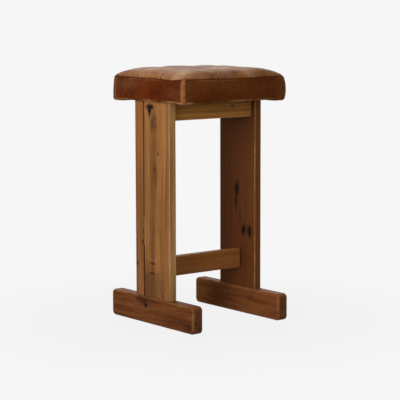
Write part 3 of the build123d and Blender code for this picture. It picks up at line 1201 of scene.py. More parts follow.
        # Patches of painted highlight and painted shade.
        for patch in self.light_and_tone_patches:
            spot = bell(np.hypot(x - patch.first, y - patch.second), patch.reach)
            rub, fold = with_light_and_tone_patch(rub, fold, patch.tone, spot)
        return grid, {"rub": np.clip(rub, 0, 1), "fold": np.clip(fold, 0, 1)}

    def build(self) -> None:
        """Makes the nine squares."""
        self.swell()
        for j, row in ROW_NAMES.items():
            for i, column in COLUMN_NAMES.items():
                name = f"{row}_{column}_square"
                stations = (self.form.row(k, self.fine, self.step) for k in (i, j))
                grid, layers = self.surface(*stations)
                points = shell_points(grid, grid - normals(grid) * self.form.leather)
                doubled = {key: np.tile(values.ravel(), 2) for key, values in layers.items()}
                made = piece(f"{name}_leather", points, shell_faces(*grid.shape[:2]), doubled)
                dress(made, self.finish, name, slot="leather")


@dataclass
class SideBands:
    """Four leather bands round the seat, each turned in below as a hem, with its corners turned under."""

    form: SeatForm
    finishes: dict[Side, Material]
    fine: float = 0.8
    step: float = 3.6
    hem_gaps: Range = (0.5, 3.0)
    end_gap: float = 1.0
    roll: float = 4.0
    roll_rows: int = 9
    hem: float = 30.0
    hem_rows: int = 10
    hem_mitre: float = 3.0
    looked_at: int = 5
    ear: tuple[float, float, float] = (36.0, 40.0, 3.5)
    ear_inset: float = 1.4
    ear_edge: float = 1.5
    ear_edge_reach: float = 1.4
    ear_fold: float = 1.0
    ear_fold_reach: float = 1.0
    ear_mitre: float = 25.0
    ear_clear: float = 0.05
    ear_rub: float = 0.15
    hang_lost: float = 0.7
    hang_height: float = 22.0
    hang_range: Range = (38.0, 30.0)
    hang_under: Range = (9.0, 4.0)
    hang_power: float = 1.5
    strip: float = 15.0
    strip_rise: float = 0.75
    strip_gather: float = 0.38
    strip_edge: Range = (1.0, 0.6)
    strip_top: Range = (0.5, 4.0)
    gather_place: float = 4.0
    gather_reach: float = 6.0
    bulge: float = 2.4
    bulge_reach: float = 30.0
    corner_tuck: float = 1.1
    ripple: Range = (160, 26)
    ripple_height: float = 0.7
    ripple_stretch: float = 1.3
    first_seed: int = 20
    pucker_height: float = 0.28
    pucker_place: float = 3.0
    pucker_reach: float = 4.0
    pucker: Gather = Gather(0.55, 1.4, 0.09)
    gather: Gather = Gather(2 * math.pi / 11.5, 0.8, 0.17)
    patch_height: float = 17.0
    # far_range and far_loss fade the hem's painted reflection and the strips' paler marks towards a band's
    # far end.
    far_range: Range = (60.0, 150.0)
    far_loss: float = 0.45
    # The hem's pale lower edge is a painted reflection of the floor in the rolled leather.
    hem_reflection_range: Range = (5.4, 3.4)
    hem_reflection_reach: float = 9.0
    hem_reflection_wave_range: Range = (-0.9, 0.4)
    # A painted highlight on the leather just below the top seam.
    seam_lip_highlight: float = 0.35
    seam_lip_highlight_place: float = 3.5
    seam_lip_highlight_reach: float = 2.5
    seam_lip_wave_range: Range = (-0.2, 0.8)
    corner_rub: float = 0.12
    corner_rub_range: Range = (40.0, 4.0)
    strip_rub: float = 0.6
    strip_rub_place: float = 4.5
    # Painted shade below the top seam, at each band's ends beside the welts, and beside the raised strips.
    strip_shade_place: float = 0.8
    shade_reach: float = 1.2
    flank_seam_shade: float = 0.7
    front_seam_shade: float = 0.4
    corner_shade: float = 0.6
    strip_shade: float = 0.5
    # The broad pale patch towards the rear of the left band is painted sheen; the others lighten or darken
    # the leather.
    light_and_tone_patches: dict[Side, tuple[LightAndTonePatch, ...]] = field(
        default_factory=lambda: {
            Side.LEFT: (LightAndTonePatch(95, 48, 50, 0.2), LightAndTonePatch(-25, 32, 26, -0.28), LightAndTonePatch(-117, 28, 25, 0.14)),
            Side.FRONT: (LightAndTonePatch(-60, 50, 90, 0.1), LightAndTonePatch(110, 40, 40, 0.05)),
        }
    )

    def half_length(self, side: Side) -> float:
        """Half the length of a band, up to its corner welts."""
        return (self.form.rim_y if side.value[0] else self.form.rim_x) - self.end_gap

    def profile(self) -> tuple[Points, Points, Points]:
        """Section of a band from its top seam down and under.

        Returns:
            How far in from the face each station is, its height, and how far along the hem it is.
        """
        form = self.form
        tall = form.seam_level - form.underside - self.roll
        heights = form.seam_level - graded(tall, *self.hem_gaps, both=False)
        turns = np.linspace(0, math.pi / 2, self.roll_rows)[1:]
        flat = np.linspace(self.roll, self.hem, self.hem_rows)[1:]
        turned_in = np.concatenate([self.roll * (1 - np.cos(turns)), flat])
        turned_down = np.concatenate([self.roll * (1 - np.sin(turns)), np.zeros(flat.size)])
        inward = np.concatenate([form.lean(heights), turned_in])
        level = np.concatenate([heights, form.underside + turned_down])
        return inward, level, np.concatenate([np.zeros(heights.size), turned_in])

    def surface(self, side: Side) -> tuple[Points, Layers]:
        """Finished outer face of a band.

        Args:
            side: the side of the seat.

        Returns:
            A grid of points, and at each its paler wear with painted highlights and reflection, and its
            painted shade.
        """
        form = self.form
        faces_x, way = side.value
        half = self.half_length(side)
        inward, level, under = self.profile()
        along = graded(2 * half, self.fine, self.step) - half
        s, h = np.meshgrid(along, inward, indexing="ij")
        z, u = np.broadcast_to(level, s.shape), np.broadcast_to(under, s.shape)
        upright = u == 0
        height, below_seam, corner = z - form.underside, form.seam_level - z, half - np.abs(s)
        seed = self.first_seed + list(Side).index(side)
        wave = Ripple(seed, *self.ripple).at(s, z * self.ripple_stretch)
        full = form.fullness(z) * upright
        ends = [form.corners[(way, end) if faces_x else (end, way)] for end in (-1, 1)]
        bulge = np.where(s > 0, ends[1], ends[0])
        out = full * (bulge + (self.bulge - bulge) * ease(0, self.bulge_reach, corner))
        out = out + self.ripple_height * wave * full - form.tuck * bell(below_seam, form.tuck_reach)
        out = out - self.corner_tuck * bell(corner, form.tuck_reach)
        puckered = bell(below_seam - self.pucker_place, self.pucker_reach)
        out = out + self.pucker_height * puckered * self.pucker.at(s)
        raised = np.zeros(s.shape)
        if faces_x:
            edges = self.strip + self.strip_edge[0], self.strip - self.strip_edge[1]
            raised = ease(*edges, corner) * ease(*self.strip_top, below_seam)
            gathered = self.gather.at(z, phase=seed) * bell(corner - self.gather_place, self.gather_reach)
            out = out + upright * raised * (self.strip_rise + self.strip_gather * gathered)
        hang = (self.ear[2] - self.hang_lost) * ease(*self.hang_range, corner)
        tall = form.seam_level - form.underside
        z = z - form.side_drop(side, s) * np.clip(height / tall, 0, 1) * upright
        low = np.clip(1 - height / self.hang_height, 0, 1) ** self.hang_power
        z = z - hang * low * ease(*self.hang_under, u)
        square_end = self.end_gap + self.hem_mitre
        s = s * (half + square_end - np.maximum(u, square_end)) / half
        s = s + np.sign(s) * bulge * full * ease(self.bulge_reach, 0, corner)
        face = (form.face_x if faces_x else form.face_y) - h + out
        grid = np.stack([way * face, s, z] if faces_x else [s, way * face, z], -1)
        # far fades the painted reflection and the strips' paler marks towards the far end; lower is the
        # painted reflection along the hem's rolled lower edge.
        far = self.far_loss * ease(*self.far_range, s)
        lower = ease(*self.hem_reflection_range, height) * (u < self.hem_reflection_reach)
        lower = lower * ease(*self.hem_reflection_wave_range, wave)
        # A painted highlight just below the top seam, broken up by the ripple.
        lip_highlight = bell(below_seam - self.seam_lip_highlight_place, self.seam_lip_highlight_reach)
        lip_highlight = self.seam_lip_highlight * lip_highlight * ease(*self.seam_lip_wave_range, wave)
        rub = (1 - far) * lower + lip_highlight + self.corner_rub * ease(*self.corner_rub_range, corner)
        beside = bell(corner - self.strip_rub_place, self.gather_reach)
        rub = rub + (self.strip_rub - far) * raised * beside
        # Painted shade below the top seam, at the ends and beside the raised strips.
        seam = self.flank_seam_shade if faces_x else self.front_seam_shade
        fold = seam * bell(below_seam, self.shade_reach) + self.corner_shade * bell(corner, self.shade_reach)
        beside = bell(corner - self.strip - self.strip_shade_place, self.shade_reach / 2)
        fold = fold + self.strip_shade * beside * faces_x
        # Patches that pale or darken the leather; the left band's rear one is painted sheen.
        for patch in self.light_and_tone_patches.get(side, ()):
            spot = bell(s - patch.first, patch.reach) * bell(height - patch.second, self.patch_height)
            rub, fold = with_light_and_tone_patch(rub, fold, patch.tone, spot)
        return grid, {"rub": np.clip(rub, 0, 1), "fold": np.clip(fold, 0, 1)}

    def ear_shell(self, x_way: int, y_way: int) -> tuple[Points, Points]:
        """Folded corner under the board.

        Args:
            x_way: -1 for a left corner and 1 for a right one.
            y_way: -1 for a front corner and 1 for a rear one.

        Returns:
            Two grids of points: its face below and its back above.
        """
        form = self.form
        long_x, long_y, thick = self.ear
        a, b = np.meshgrid(*(graded(long, *self.hem_gaps) for long in (long_x, long_y)), indexing="ij")
        edge = np.minimum(np.minimum(a, long_x - a), np.minimum(b, long_y - b))
        mitre = np.abs(a / long_x - b / long_y) * self.ear_mitre
        x = x_way * (form.face_x - self.ear_inset - a)
        y = y_way * (form.face_y - self.ear_inset - b)
        bottom = form.underside - thick + self.ear_edge * bell(edge, self.ear_edge_reach)
        bottom = bottom + self.ear_fold * bell(mitre, self.ear_fold_reach)
        back = np.full(x.shape, form.underside - self.ear_clear)
        return np.stack([x, y, bottom], -1), np.stack([x, y, back], -1)

    def build(self) -> None:
        """Makes the four bands."""
        for side in Side:
            grid, layers = self.surface(side)
            out = normals(grid) * (1 if self.looks_out(grid, side) else -1)
            points = [shell_points(grid, grid - out * self.form.leather)]
            faces = shell_faces(*grid.shape[:2])
            values = {key: [np.tile(v.ravel(), 2)] for key, v in layers.items()}
            for x_way in () if side.value[0] else (-1, 1):
                face, back = self.ear_shell(x_way, side.value[1])
                wound = shell_faces(*face.shape[:2], start=sum(len(p) for p in points))
                same_way = (normals(face)[2, 2, 2] < 0) == self.looks_out(grid, side)
                faces += wound if same_way else [f[::-1] for f in wound]
                points.append(shell_points(face, back))
                values["rub"].append(np.full(len(points[-1]), self.ear_rub))
                values["fold"].append(np.zeros(len(points[-1])))
            name = f"{side.name.lower()}_band"
            layers = {key: np.concatenate(v) for key, v in values.items()}
            made = piece(f"{name}_leather", np.concatenate(points), faces, layers)
            dress(made, self.finishes[side], name, slot="leather")

    def looks_out(self, grid: Points, side: Side) -> bool:
        """Whether the normals of a band's grid point away from the seat, as seen midway along it."""
        axis = 0 if side.value[0] else 1
        return normals(grid)[grid.shape[0] // 2, self.looked_at, axis] * side.value[1] > 0


@dataclass
class CornerWelts:
    """Rolled leather strips over the four upright corner seams, gathered along their length."""

    form: SeatForm
    worn_and_lit: Material
    plain: Material
    centre: tuple[float, float] = (182.0, 167.5)
    radius: float = 4.0
    end_share: float = 0.35
    most_worn: tuple[int, int] = (-1, -1)
    sides: int = 24
    rings: int = 90
    below: float = 3.4
    above: float = 1.0
    draw_under: float = 2.5
    first_seed: int = 40
    gather: Gather = Gather(2 * math.pi / 15, 1.6, 0.11)
    gather_height: float = 0.16
    twist: float = 0.8
    foot_taper: float = 5.0
    top_taper: float = 3.0
    top_cut: float = 0.8
    ripple: Range = (60, 14)
    ripple_height: float = 0.2
    # Paler wear on the welt and on its gathers; the front-left welt takes it in full, with a painted
    # highlight along its rolled crest.
    rub: float = 0.22
    gather_rub: float = 0.2
    plain_rub: float = 0.4
    # Painted shade at the welt's top, under the seam.
    top_shade: float = 0.5

    def build(self) -> None:
        """Makes the four welts."""
        for x_way in (-1, 1):
            for y_way in (-1, 1):
                self.welt(x_way, y_way)

    def welt(self, x_way: int, y_way: int) -> None:
        """Makes one welt.

        Args:
            x_way: -1 for a left corner and 1 for a right one.
            y_way: -1 for a front corner and 1 for a rear one.
        """
        form = self.form
        heights = np.linspace(form.underside - self.below, form.seam_level + self.above, self.rings)
        turns = np.linspace(0, 2 * math.pi, self.sides, endpoint=False)
        z, turn = np.meshgrid(heights, turns, indexing="ij")
        from_foot, from_top = z - heights[0], heights[-1] - z
        seed = self.first_seed + x_way + 3 * y_way
        gather = self.gather.at(z, phase=self.twist * np.sin(turn), start=seed)
        taper = ease(0.0, self.foot_taper, from_foot) ** 0.5
        taper = taper * ease(0.0, self.top_taper, from_top + self.top_cut) ** 0.5
        radius = self.radius * (self.end_share + (1 - self.end_share) * taper)
        radius = radius + self.gather_height * gather
        radius = radius + self.ripple_height * Ripple(seed, *self.ripple).at(z, turn * self.radius)
        out = form.corners[(x_way, y_way)] * form.fullness(z) - form.lean(z)
        out = out - self.draw_under * ease(self.foot_taper, 0.0, from_foot)
        x = x_way * (self.centre[0] + out + radius * np.cos(turn))
        y = y_way * (self.centre[1] + out + radius * np.sin(turn))
        # The front-left welt is paler, which is wear and a painted highlight along its rolled crest; each
        # welt's top gets painted shade.
        worn_and_lit = (x_way, y_way) == self.most_worn
        rub = np.clip(self.rub + self.gather_rub * gather, 0, 1) * (1.0 if worn_and_lit else self.plain_rub)
        layers = {"rub": rub, "fold": self.top_shade * bell(from_top, form.tuck_reach)}
        name = f"{ROW_NAMES[y_way]}_{COLUMN_NAMES[x_way]}_welt"
        points = np.stack([x, y, z], -1).reshape(-1, 3)
        made = piece(f"{name}_leather", points, tube_faces(self.rings, self.sides), layers)
        dress(made, self.worn_and_lit if worn_and_lit else self.plain, name, slot="welt_leather")


@dataclass
class Filling:
    """Foam pad and the wadding that fills out the crown, both inside the leather."""

    cover: TopCover
    foam: Material
    wadding: Material
    pad_rings: int = 15
    pad_sides: int = 96
    pad_hole: float = 0.05
    pad_corner: float = 24
    pad_edge: float = 8
    fine: float = 4.0
    step: float = 8.0
    clear: float = 2.4
    inset: float = 4.0
    thinnest: float = 0.8
    over_pad: float = 0.1

    def build(self) -> None:
        """Makes the pad and the wadding."""
        low, high = (np.array(corner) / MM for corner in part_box("foam_pad"))
        self.pad(low, high)
        self.fleece(high[2])

    def rounded(self, turn: Points, power: float) -> tuple[Points, Points]:
        """Places on a rounded square of half size 1.

        Args:
            turn: angle of each place.
            power: 2 for a circle, and more for sharper corners.

        Returns:
            How far each place is from the middle, along each side.
        """
        c, s = np.cos(turn), np.sin(turn)
        scale = (np.abs(c) ** power + np.abs(s) ** power) ** (-1 / power)
        return c * scale, s * scale

    def pad(self, low: Points, high: Points) -> None:
        """Makes the foam pad: a slab whose edges and corners are rounded.

        Args:
            low: lowest corner of its box.
            high: highest corner of its box.
        """
        half, middle = (high - low) / 2, (high + low) / 2
        turns = np.linspace(self.pad_hole, math.pi - self.pad_hole, self.pad_rings)
        around = np.linspace(0, 2 * math.pi, self.pad_sides, endpoint=False)
        t, a = np.meshgrid(turns, around, indexing="ij")
        flat_x, flat_y = self.rounded(a, self.pad_corner)
        down, side = self.rounded(t, self.pad_edge)
        grid = np.stack([flat_x * side * half[0], flat_y * side * half[1], -down * half[2]], -1) + middle
        made = piece("foam_pad_foam", grid.reshape(-1, 3), tube_faces(self.pad_rings, self.pad_sides))
        dress(made, self.foam, "foam_pad", slot="foam")

    def fleece(self, bottom: float) -> None:
        """Makes the wadding between the pad and the squares.

        Args:
            bottom: height of the pad's top.
        """
        shares = self.cover.form.rows(self.fine, self.step)
        top, _ = self.cover.surface(shares, shares)
        top = top - normals(top) * self.clear
        top[..., :2] *= 1 - self.inset / self.cover.form.rim_x
        top[..., 2] = np.maximum(top[..., 2], bottom + self.thinnest)
        base = top.copy()
        base[..., 2] = bottom + self.over_pad
        made = piece("crown_wadding_fleece", shell_points(top, base), shell_faces(*top.shape[:2]))
        dress(made, self.wadding, "crown_wadding", slot="wadding")


@dataclass
class DustCover:
    """Thin black cloth stapled over the underside, with a slight sag."""

    finish: Material
    half: tuple[float, float] = (166.0, 151.5)
    clip: float = 43.0
    top: float = 650.0
    clear: float = 0.06
    thickness: float = 0.5
    gaps: Range = (1.0, 6.0)
    gap_shares: Range = (0.02, 0.045)
    between_cleats: Range = (116.0, 96.0)
    open_middle: Range = (37.0, 20.0)
    beyond_aprons: Range = (70.0, 90.0)
    side_hem: float = 22.0
    end_hem: float = 20.0
    ripple: tuple[int, float, float] = (61, 90, 18)
    middle_sag: float = 1.44
    side_sag: float = 0.88
    uneven_sag: float = 0.56

    def build(self) -> None:
        """Makes the cloth."""
        half_x, half_y = self.half
        across = graded(2 * half_x, *self.gaps) - half_x
        shares = graded(2.0, *self.gap_shares) - 1.0
        x, v = np.meshgrid(across, shares, indexing="ij")
        reach = half_y - np.clip(np.abs(x) - (half_x - self.clip), 0, self.clip)
        y = v * reach
        in_middle = ease(*self.between_cleats, np.abs(x)) * ease(*self.open_middle, np.abs(y))
        beside = ease(*self.beyond_aprons, np.abs(y)) * ease(0.0, self.side_hem, reach - np.abs(y))
        beside = beside * ease(0.0, self.end_hem, half_x - np.abs(x))
        uneven = self.side_sag + self.uneven_sag * Ripple(*self.ripple).at(x, y)
        hang = np.maximum(self.middle_sag * in_middle + beside * uneven, 0)
        top = np.stack([x, y, self.top - self.clear - hang], -1)
        bottom = top - (0, 0, self.thickness)
        made = piece("dust_cover_cloth", shell_points(bottom, top), shell_faces(*top.shape[:2]))
        dress(made, self.finish, "dust_cover", slot="black_cloth")
        width, length = (2 * h * MM for h in self.half)
        area = width * length - 2 * (self.clip * MM) ** 2


@dataclass
class Stitching:
    """Thread in the seams, made by a tree that lays one stitch after another along a path."""

    cover: TopCover
    bands: SideBands
    dark_thread: Material
    pale_thread: Material
    tree_name: str = "stitch_row"
    seam_reach_share: float = 0.985
    seam_points: int = 160
    seam_offset: float = 1e-4
    proud: float = 0.25
    corner_inset: float = 4.6
    corner_proud: float = 0.12
    corner_ends: tuple[float, float] = (4.0, 3.0)
    corner_row: int = 12
    ball: dict[str, float] = field(default_factory=lambda: {"Segments": 8, "Rings": 6, "Radius": 1.0})
    squares: dict[str, float] = field(
        default_factory=lambda: {"Pitch": 3.6, "Length": 3.2, "Thread_Radius": 0.42, "Lean": 0.0}
    )
    corners: dict[str, float] = field(
        default_factory=lambda: {"Pitch": 5.8, "Length": 4.4, "Thread_Radius": 0.5, "Lean": 0.75}
    )

    def make_tree(self) -> None:
        """Builds the tree: a path in, stitches out, with named inputs for their sizes."""
        tree = bpy.data.node_groups.new(self.tree_name, "GeometryNodeTree")
        face = tree.interface
        face.new_socket("Path", in_out="INPUT", socket_type="NodeSocketGeometry")
        for key, value in self.corners.items():
            socket = face.new_socket(key.replace("_", " "), in_out="INPUT", socket_type="NodeSocketFloat")
            socket.default_value = self.scaled(key, value)
        face.new_socket("Thread", in_out="INPUT", socket_type="NodeSocketMaterial")
        face.new_socket("Stitches", in_out="OUTPUT", socket_type="NodeSocketGeometry")
        nodes = Nodes(tree)
        given = {socket.name: Term(nodes, socket) for socket in nodes.add("NodeGroupInput", {}).outputs}
        curve = nodes.make("GeometryNodeMeshToCurve", {"Mesh": given["Path"]})
        even = {"Curve": curve, "Length": given["Pitch"]}
        even = nodes.make("GeometryNodeResampleCurve", even, mode="LENGTH")
        ball = nodes.make("GeometryNodeMeshUVSphere", self.ball, "Mesh")
        size = nodes.join(given["Thread Radius"], given["Thread Radius"], given["Length"] * 0.5)
        along = nodes.make("GeometryNodeInputTangent", {})
        along = nodes.make("FunctionNodeAlignRotationToVector", {"Vector": along}, axis="Z")
        turn = nodes.make("FunctionNodeEulerToRotation", {0: nodes.join(given["Lean"])})
        turn = {"Rotation": along, "Rotate By": turn}
        turn = nodes.make("FunctionNodeRotateRotation", turn, rotation_space="LOCAL")
        laid = {"Points": even, "Instance": ball, "Rotation": turn, "Scale": size}
        laid = nodes.make("GeometryNodeInstanceOnPoints", laid)
        real = nodes.make("GeometryNodeRealizeInstances", {0: laid})
        smooth = nodes.make("GeometryNodeSetShadeSmooth", {0: real})
        coat = nodes.make("GeometryNodeSetMaterial", {0: smooth, "Material": given["Thread"]})
        nodes.add("NodeGroupOutput", {0: coat})

    def scaled(self, key: str, value: float) -> float:
        """A size as the tree takes it: the lean in radians as it is, and lengths in metres."""
        return value if key == "Lean" else value * MM

    def row(self, name: str, paths: list[Points], thread: Material, **sizes: float) -> None:
        """Lays stitches along paths and keeps them as one plain mesh.

        Args:
            name: the piece's name.
            paths: lines of points in mm.
            thread: the thread's finish.
            sizes: the tree's sizes by name, in mm or radians.
        """
        tree, points, edges = bpy.data.node_groups[self.tree_name], [], []
        for path in paths:
            start = sum(len(p) for p in points)
            points.append(path * MM)
            edges += [(start + k, start + k + 1) for k in range(len(path) - 1)]
        mesh = bpy.data.meshes.new(f"{name}_path")
        mesh.from_pydata(np.concatenate(points).tolist(), edges, [])
        guide = linked(f"{name}_path", mesh)
        modifier = guide.modifiers.new("stitches", "NODES")
        modifier.node_group = tree
        inputs = {item.name: item.identifier for item in tree.interface.items_tree if item.in_out == "INPUT"}
        modifier[inputs["Thread"]] = thread
        for key, value in sizes.items():
            modifier[inputs[key.replace("_", " ")]] = self.scaled(key, value)
        shown = guide.evaluated_get(bpy.context.evaluated_depsgraph_get())
        made = linked(name, bpy.data.meshes.new_from_object(shown))
        bpy.data.objects.remove(guide)
        dress(made, thread)

    def square_seams(self) -> list[Points]:
        """Paths of the thread between the squares.

        Returns:
            Two lines each way, a little proud of the grooves.
        """
        stations = np.linspace(-self.seam_reach_share, self.seam_reach_share, self.seam_points)
        paths = []
        for place in (-self.cover.form.seam_share, self.cover.form.seam_share):
            line = np.array([place]) - self.seam_offset
            for shares in ((line, stations), (stations, line)):
                paths.append(self.cover.surface(*shares)[0].reshape(-1, 3) + (0, 0, self.proud))
        return paths

    def corner_seams(self) -> list[Points]:
        """Paths of the thread down the strips beside the corners.

        Returns:
            A line beside each corner, a little proud of the left or the right band.
        """
        form, paths = self.cover.form, []
        low, high = form.underside + self.corner_ends[0], form.seam_level - self.corner_ends[1]
        for side in (Side.LEFT, Side.RIGHT):
            grid, _ = self.bands.surface(side)
            for end in (-1, 1):
                wanted = end * (self.bands.half_length(side) - self.corner_inset)
                line = grid[int(np.argmin(np.abs(grid[:, self.corner_row, 1] - wanted)))]
                kept = line[(line[:, 2] > low) & (line[:, 2] < high)]
                paths.append(kept + (side.value[1] * self.corner_proud, 0, 0))
        return paths

    def build(self) -> None:
        """Makes the thread between the squares and beside the corners."""
        self.make_tree()
        self.row("square_seam_thread", self.square_seams(), self.dark_thread, **self.squares)
        self.row("corner_stitching", self.corner_seams(), self.pale_thread, **self.corners)


# Frame


@dataclass
class TimberFrame:
    """Trestle frame: its solids stay, and each board gets a finish with its own grain and knots."""

    left_planks: tuple[str, str] = ("left_leg_wide_plank", "left_leg_narrow_plank")
    joint: Joint = Joint(across=40.0, open_above=322.0, wide_below=238.0)
    wide_plank_knots: tuple[Knot, ...] = (
        Knot(8, 633, 15, 7, 0.97, 0.5),
        Knot(10, 624, 8, 9, 0.97, 0.5),
        Knot(10.5, 612, 3.5, 10, 0.85),
        Knot(-8, 590, 13, 26, 0.45, 0.9),
        Knot(-16, 600, 4, 9, 0.55, 0.5),
        Knot(-3, 577, 4, 12, 0.45, 0.5),
        Knot(-28, 501, 4, 5, 0.6, 0.4),
        Knot(-11, 432, 13, 40, 0.34, 0.6),
        Knot(-10, 455, 6, 7, 0.5, 0.4),
        Knot(-4, 400, 17, 250, 0.22),
        # The last entry is no knot: it darkens the plank broadly, low down.
        Knot(5, 110, 60, 50, 0.34),
    )
    narrow_plank_knots: tuple[Knot, ...] = (
        Knot(46.7, 237, 5, 6, 0.6, 0.7),
        Knot(75, 172, 4, 5, 0.85, 0.4),
        Knot(42, 270, 3.5, 5, 0.6, 0.5),
    )
    right_leg_knots: tuple[Knot, ...] = (
        Knot(2, 374, 8.5, 17, 0.93, 0.8),
        Knot(5.5, 340, 5, 24, 0.62),
        Knot(-31, 252, 8, 12, 0.95, 0.7),
        Knot(-58, 250, 8.5, 14, 0.95, 0.7),
        Knot(-14, 292, 2, 24, 0.5),
        Knot(-19, 168, 2.4, 26, 0.6),
    )
    left_foot_knots: tuple[Knot, ...] = (
        Knot(68, 46, 7, 27, 0.5, 0.9),
        Knot(61, 36, 7, 11, 0.45, 0.5),
        Knot(53, 27, 5, 6, 0.95, 0.5),
        Knot(20, -176, 8, 16, 0.5, 0.3),
    )
    # The second entry is no knot: it is a painted shadow on the right foot's side below its leg.
    right_foot_knots_and_shadow: tuple[Knot, ...] = (Knot(50, -70, 6, 14, 0.3, 0.9), Knot(46, 68, 30, 40, 0.14))
    tenon_shadow: tuple[Knot, ...] = (Knot(179, -171, 2.6, 8, 0.6), Knot(150.5, -171, 2.8, 8, 0.65))
    apron_knots: tuple[Knot, ...] = (Knot(630, 77, 3, 7, 0.5, 0.6),)

    def legs(self) -> dict[str, TimberFinish]:
        """Finishes of the left leg's two planks and of the right leg.

        Returns:
            The finishes by the names of the solids that wear them.
        """
        upright = Grain.UPRIGHT
        # The right leg's dark colours are partly a darker board and partly painted shade on its shaded inner
        # face; its side tint lifts its narrow faces back, which is painted light.
        dark = {"pale": "64391b", "body": "522c11", "dark": "391b09", "side_tone_and_light": (1.3, 1.4, 1.3)}
        wide = {"joint": self.joint, "side_tone_and_light": (1.13, 1.41, 1.74), "streaks": 0.85}
        narrow = {"joint": self.joint, "pale": "98633a", "heart": (-60, 20), "shift": (310, 40, 12)}
        place = {"heart": (150, -30), "shift": (-900, 20, 40), "streaks": 0.45}
        wide_plank = TimberFinish("wide_plank_timber", upright, knots=self.wide_plank_knots, **wide)
        narrow_plank = TimberFinish("narrow_plank_timber", upright, knots=self.narrow_plank_knots, **narrow)
        right_leg = TimberFinish("right_leg_timber", upright, knots=self.right_leg_knots, **dark, **place)
        return dict(zip(self.left_planks, (wide_plank, narrow_plank))) | {"right_leg": right_leg}

    def feet(self) -> dict[str, TimberFinish]:
        """Finishes of the two feet.

        Returns:
            The finishes by the names of the solids that wear them.
        """
        grain = Grain.FRONT_TO_REAR
        warm = {"pale": "7f4c28", "body": "67391a", "dark": "40200c", "end_tint": (0.78, 0.88, 1.05)}
        # The feet's wide pale edges are wear and a painted highlight along their rounded top edges.
        worn_and_lit = {"wear_and_highlight_width": 9.0, "wear_and_highlight_share": 0.3, "waviness": 0.32}
        left = {"heart": (-30, 60), "shift": (200, 0, 90), "knots": self.left_foot_knots}
        right = {"heart": (-55, -70), "shift": (-520, 0, -60), "knots": self.right_foot_knots_and_shadow}
        return {
            "left_foot": TimberFinish("left_foot_timber", grain, **left, **warm, **worn_and_lit),
            "right_foot": TimberFinish("right_foot_timber", grain, **right, **warm, **worn_and_lit, streaks=0.75),
        }

    def rails(self) -> dict[str, TimberFinish]:
        """Finishes of the stretcher and the aprons.

        Returns:
            The finishes by the names of the solids that wear them.
        """
        grain = Grain.SIDE_TO_SIDE
        brown = {"pale": "955f33", "body": "7c4a20", "dark": "5a3011", "streaks": 0.5}
        stretcher = {"heart": (240, 50), "shift": (77, 0, 0), "knots": self.tenon_shadow}
        front = {"pale": "ab773d", "body": "8c5c2a", "heart": (560, -20), "shift": (400, 0, 0)}
        rear = {"heart": (690, 20), "shift": (-300, 0, 0)}
        return {
            "stretcher": TimberFinish("stretcher_timber", grain, **stretcher, **brown),
            "front_apron": TimberFinish("front_apron_timber", grain, knots=self.apron_knots, **front),
            "rear_apron": TimberFinish("rear_apron_timber", grain, **rear),
        }

    def inner(self) -> dict[str, TimberFinish]:
        """Finishes of the cleats, the wedges and the dowels.

        Returns:
            The finishes by the names of the solids that wear them.
        """
        level, deep = Grain.SIDE_TO_SIDE, Grain.FRONT_TO_REAR
        hidden = {"pale": "c39a66", "body": "a87c4c", "dark": "7d5831"}
        wedge = {"pale": "5a3218", "body": "41220f", "dark": "241207", "wear_and_highlight_share": 0.0}
        left = {"heart": (590, 90)}
        right = left | {"shift": (130, 0, 0)}
        return {
            "left_cleat": TimberFinish("left_cleat_timber", deep, **left, **hidden),
            "right_cleat": TimberFinish("right_cleat_timber", deep, **right, **hidden),
            "left_tenon_wedge": TimberFinish("wedge_timber", level, **wedge),
            "right_tenon_wedge": TimberFinish("wedge_timber", level, **wedge),
            "apron_dowels": TimberFinish("dowel_timber", level, wear_and_highlight_share=0.0, **hidden),
        }

    def build(self) -> None:
        """Gives every board and block its finish, with one common box for the left leg's planks."""
        for node, finish in (self.legs() | self.feet() | self.rails() | self.inner()).items():
            wear(finish.build(self.left_planks if node in self.left_planks else (node,)), node)
        layers = {"cell": 1.6, "stretch": (0.03, 0.03, 1.0), "depth": 0.1, "rough": 0.7}
        wear(PlainFinish("plywood", "c9a273", "9c7345", **layers).build(), "seat_board")


@dataclass
class Fasteners:
    """Screws and staples: their solids stay, with metal finishes."""

    screws: tuple[str, ...] = ("seat_screws", "cleat_screws", "foot_screws")
    staples: tuple[str, ...] = ("hem_staples", "dust_cover_staples")

    def build(self) -> None:
        """Gives the screws zinc and the staples bright steel."""
        metal = {"depth": 0.02, "metal": 1.0}
        zinc = PlainFinish("zinc_screws", "c9c3b2", "8f8a7c", cell=1.2, rough=0.38, **metal)
        bright = PlainFinish("bright_staples", "d0d0d0", "9a9a9a", cell=0.8, rough=0.3, **metal)
        wear(zinc.build(), *self.screws)
        wear(bright.build(), *self.staples)


# Stage


@dataclass(frozen=True)
class Lamp:
    """Soft lamp: its place, its width and height, and its power in watts."""

    name: str
    place: tuple[float, float, float]
    size: tuple[float, float]
    power: float


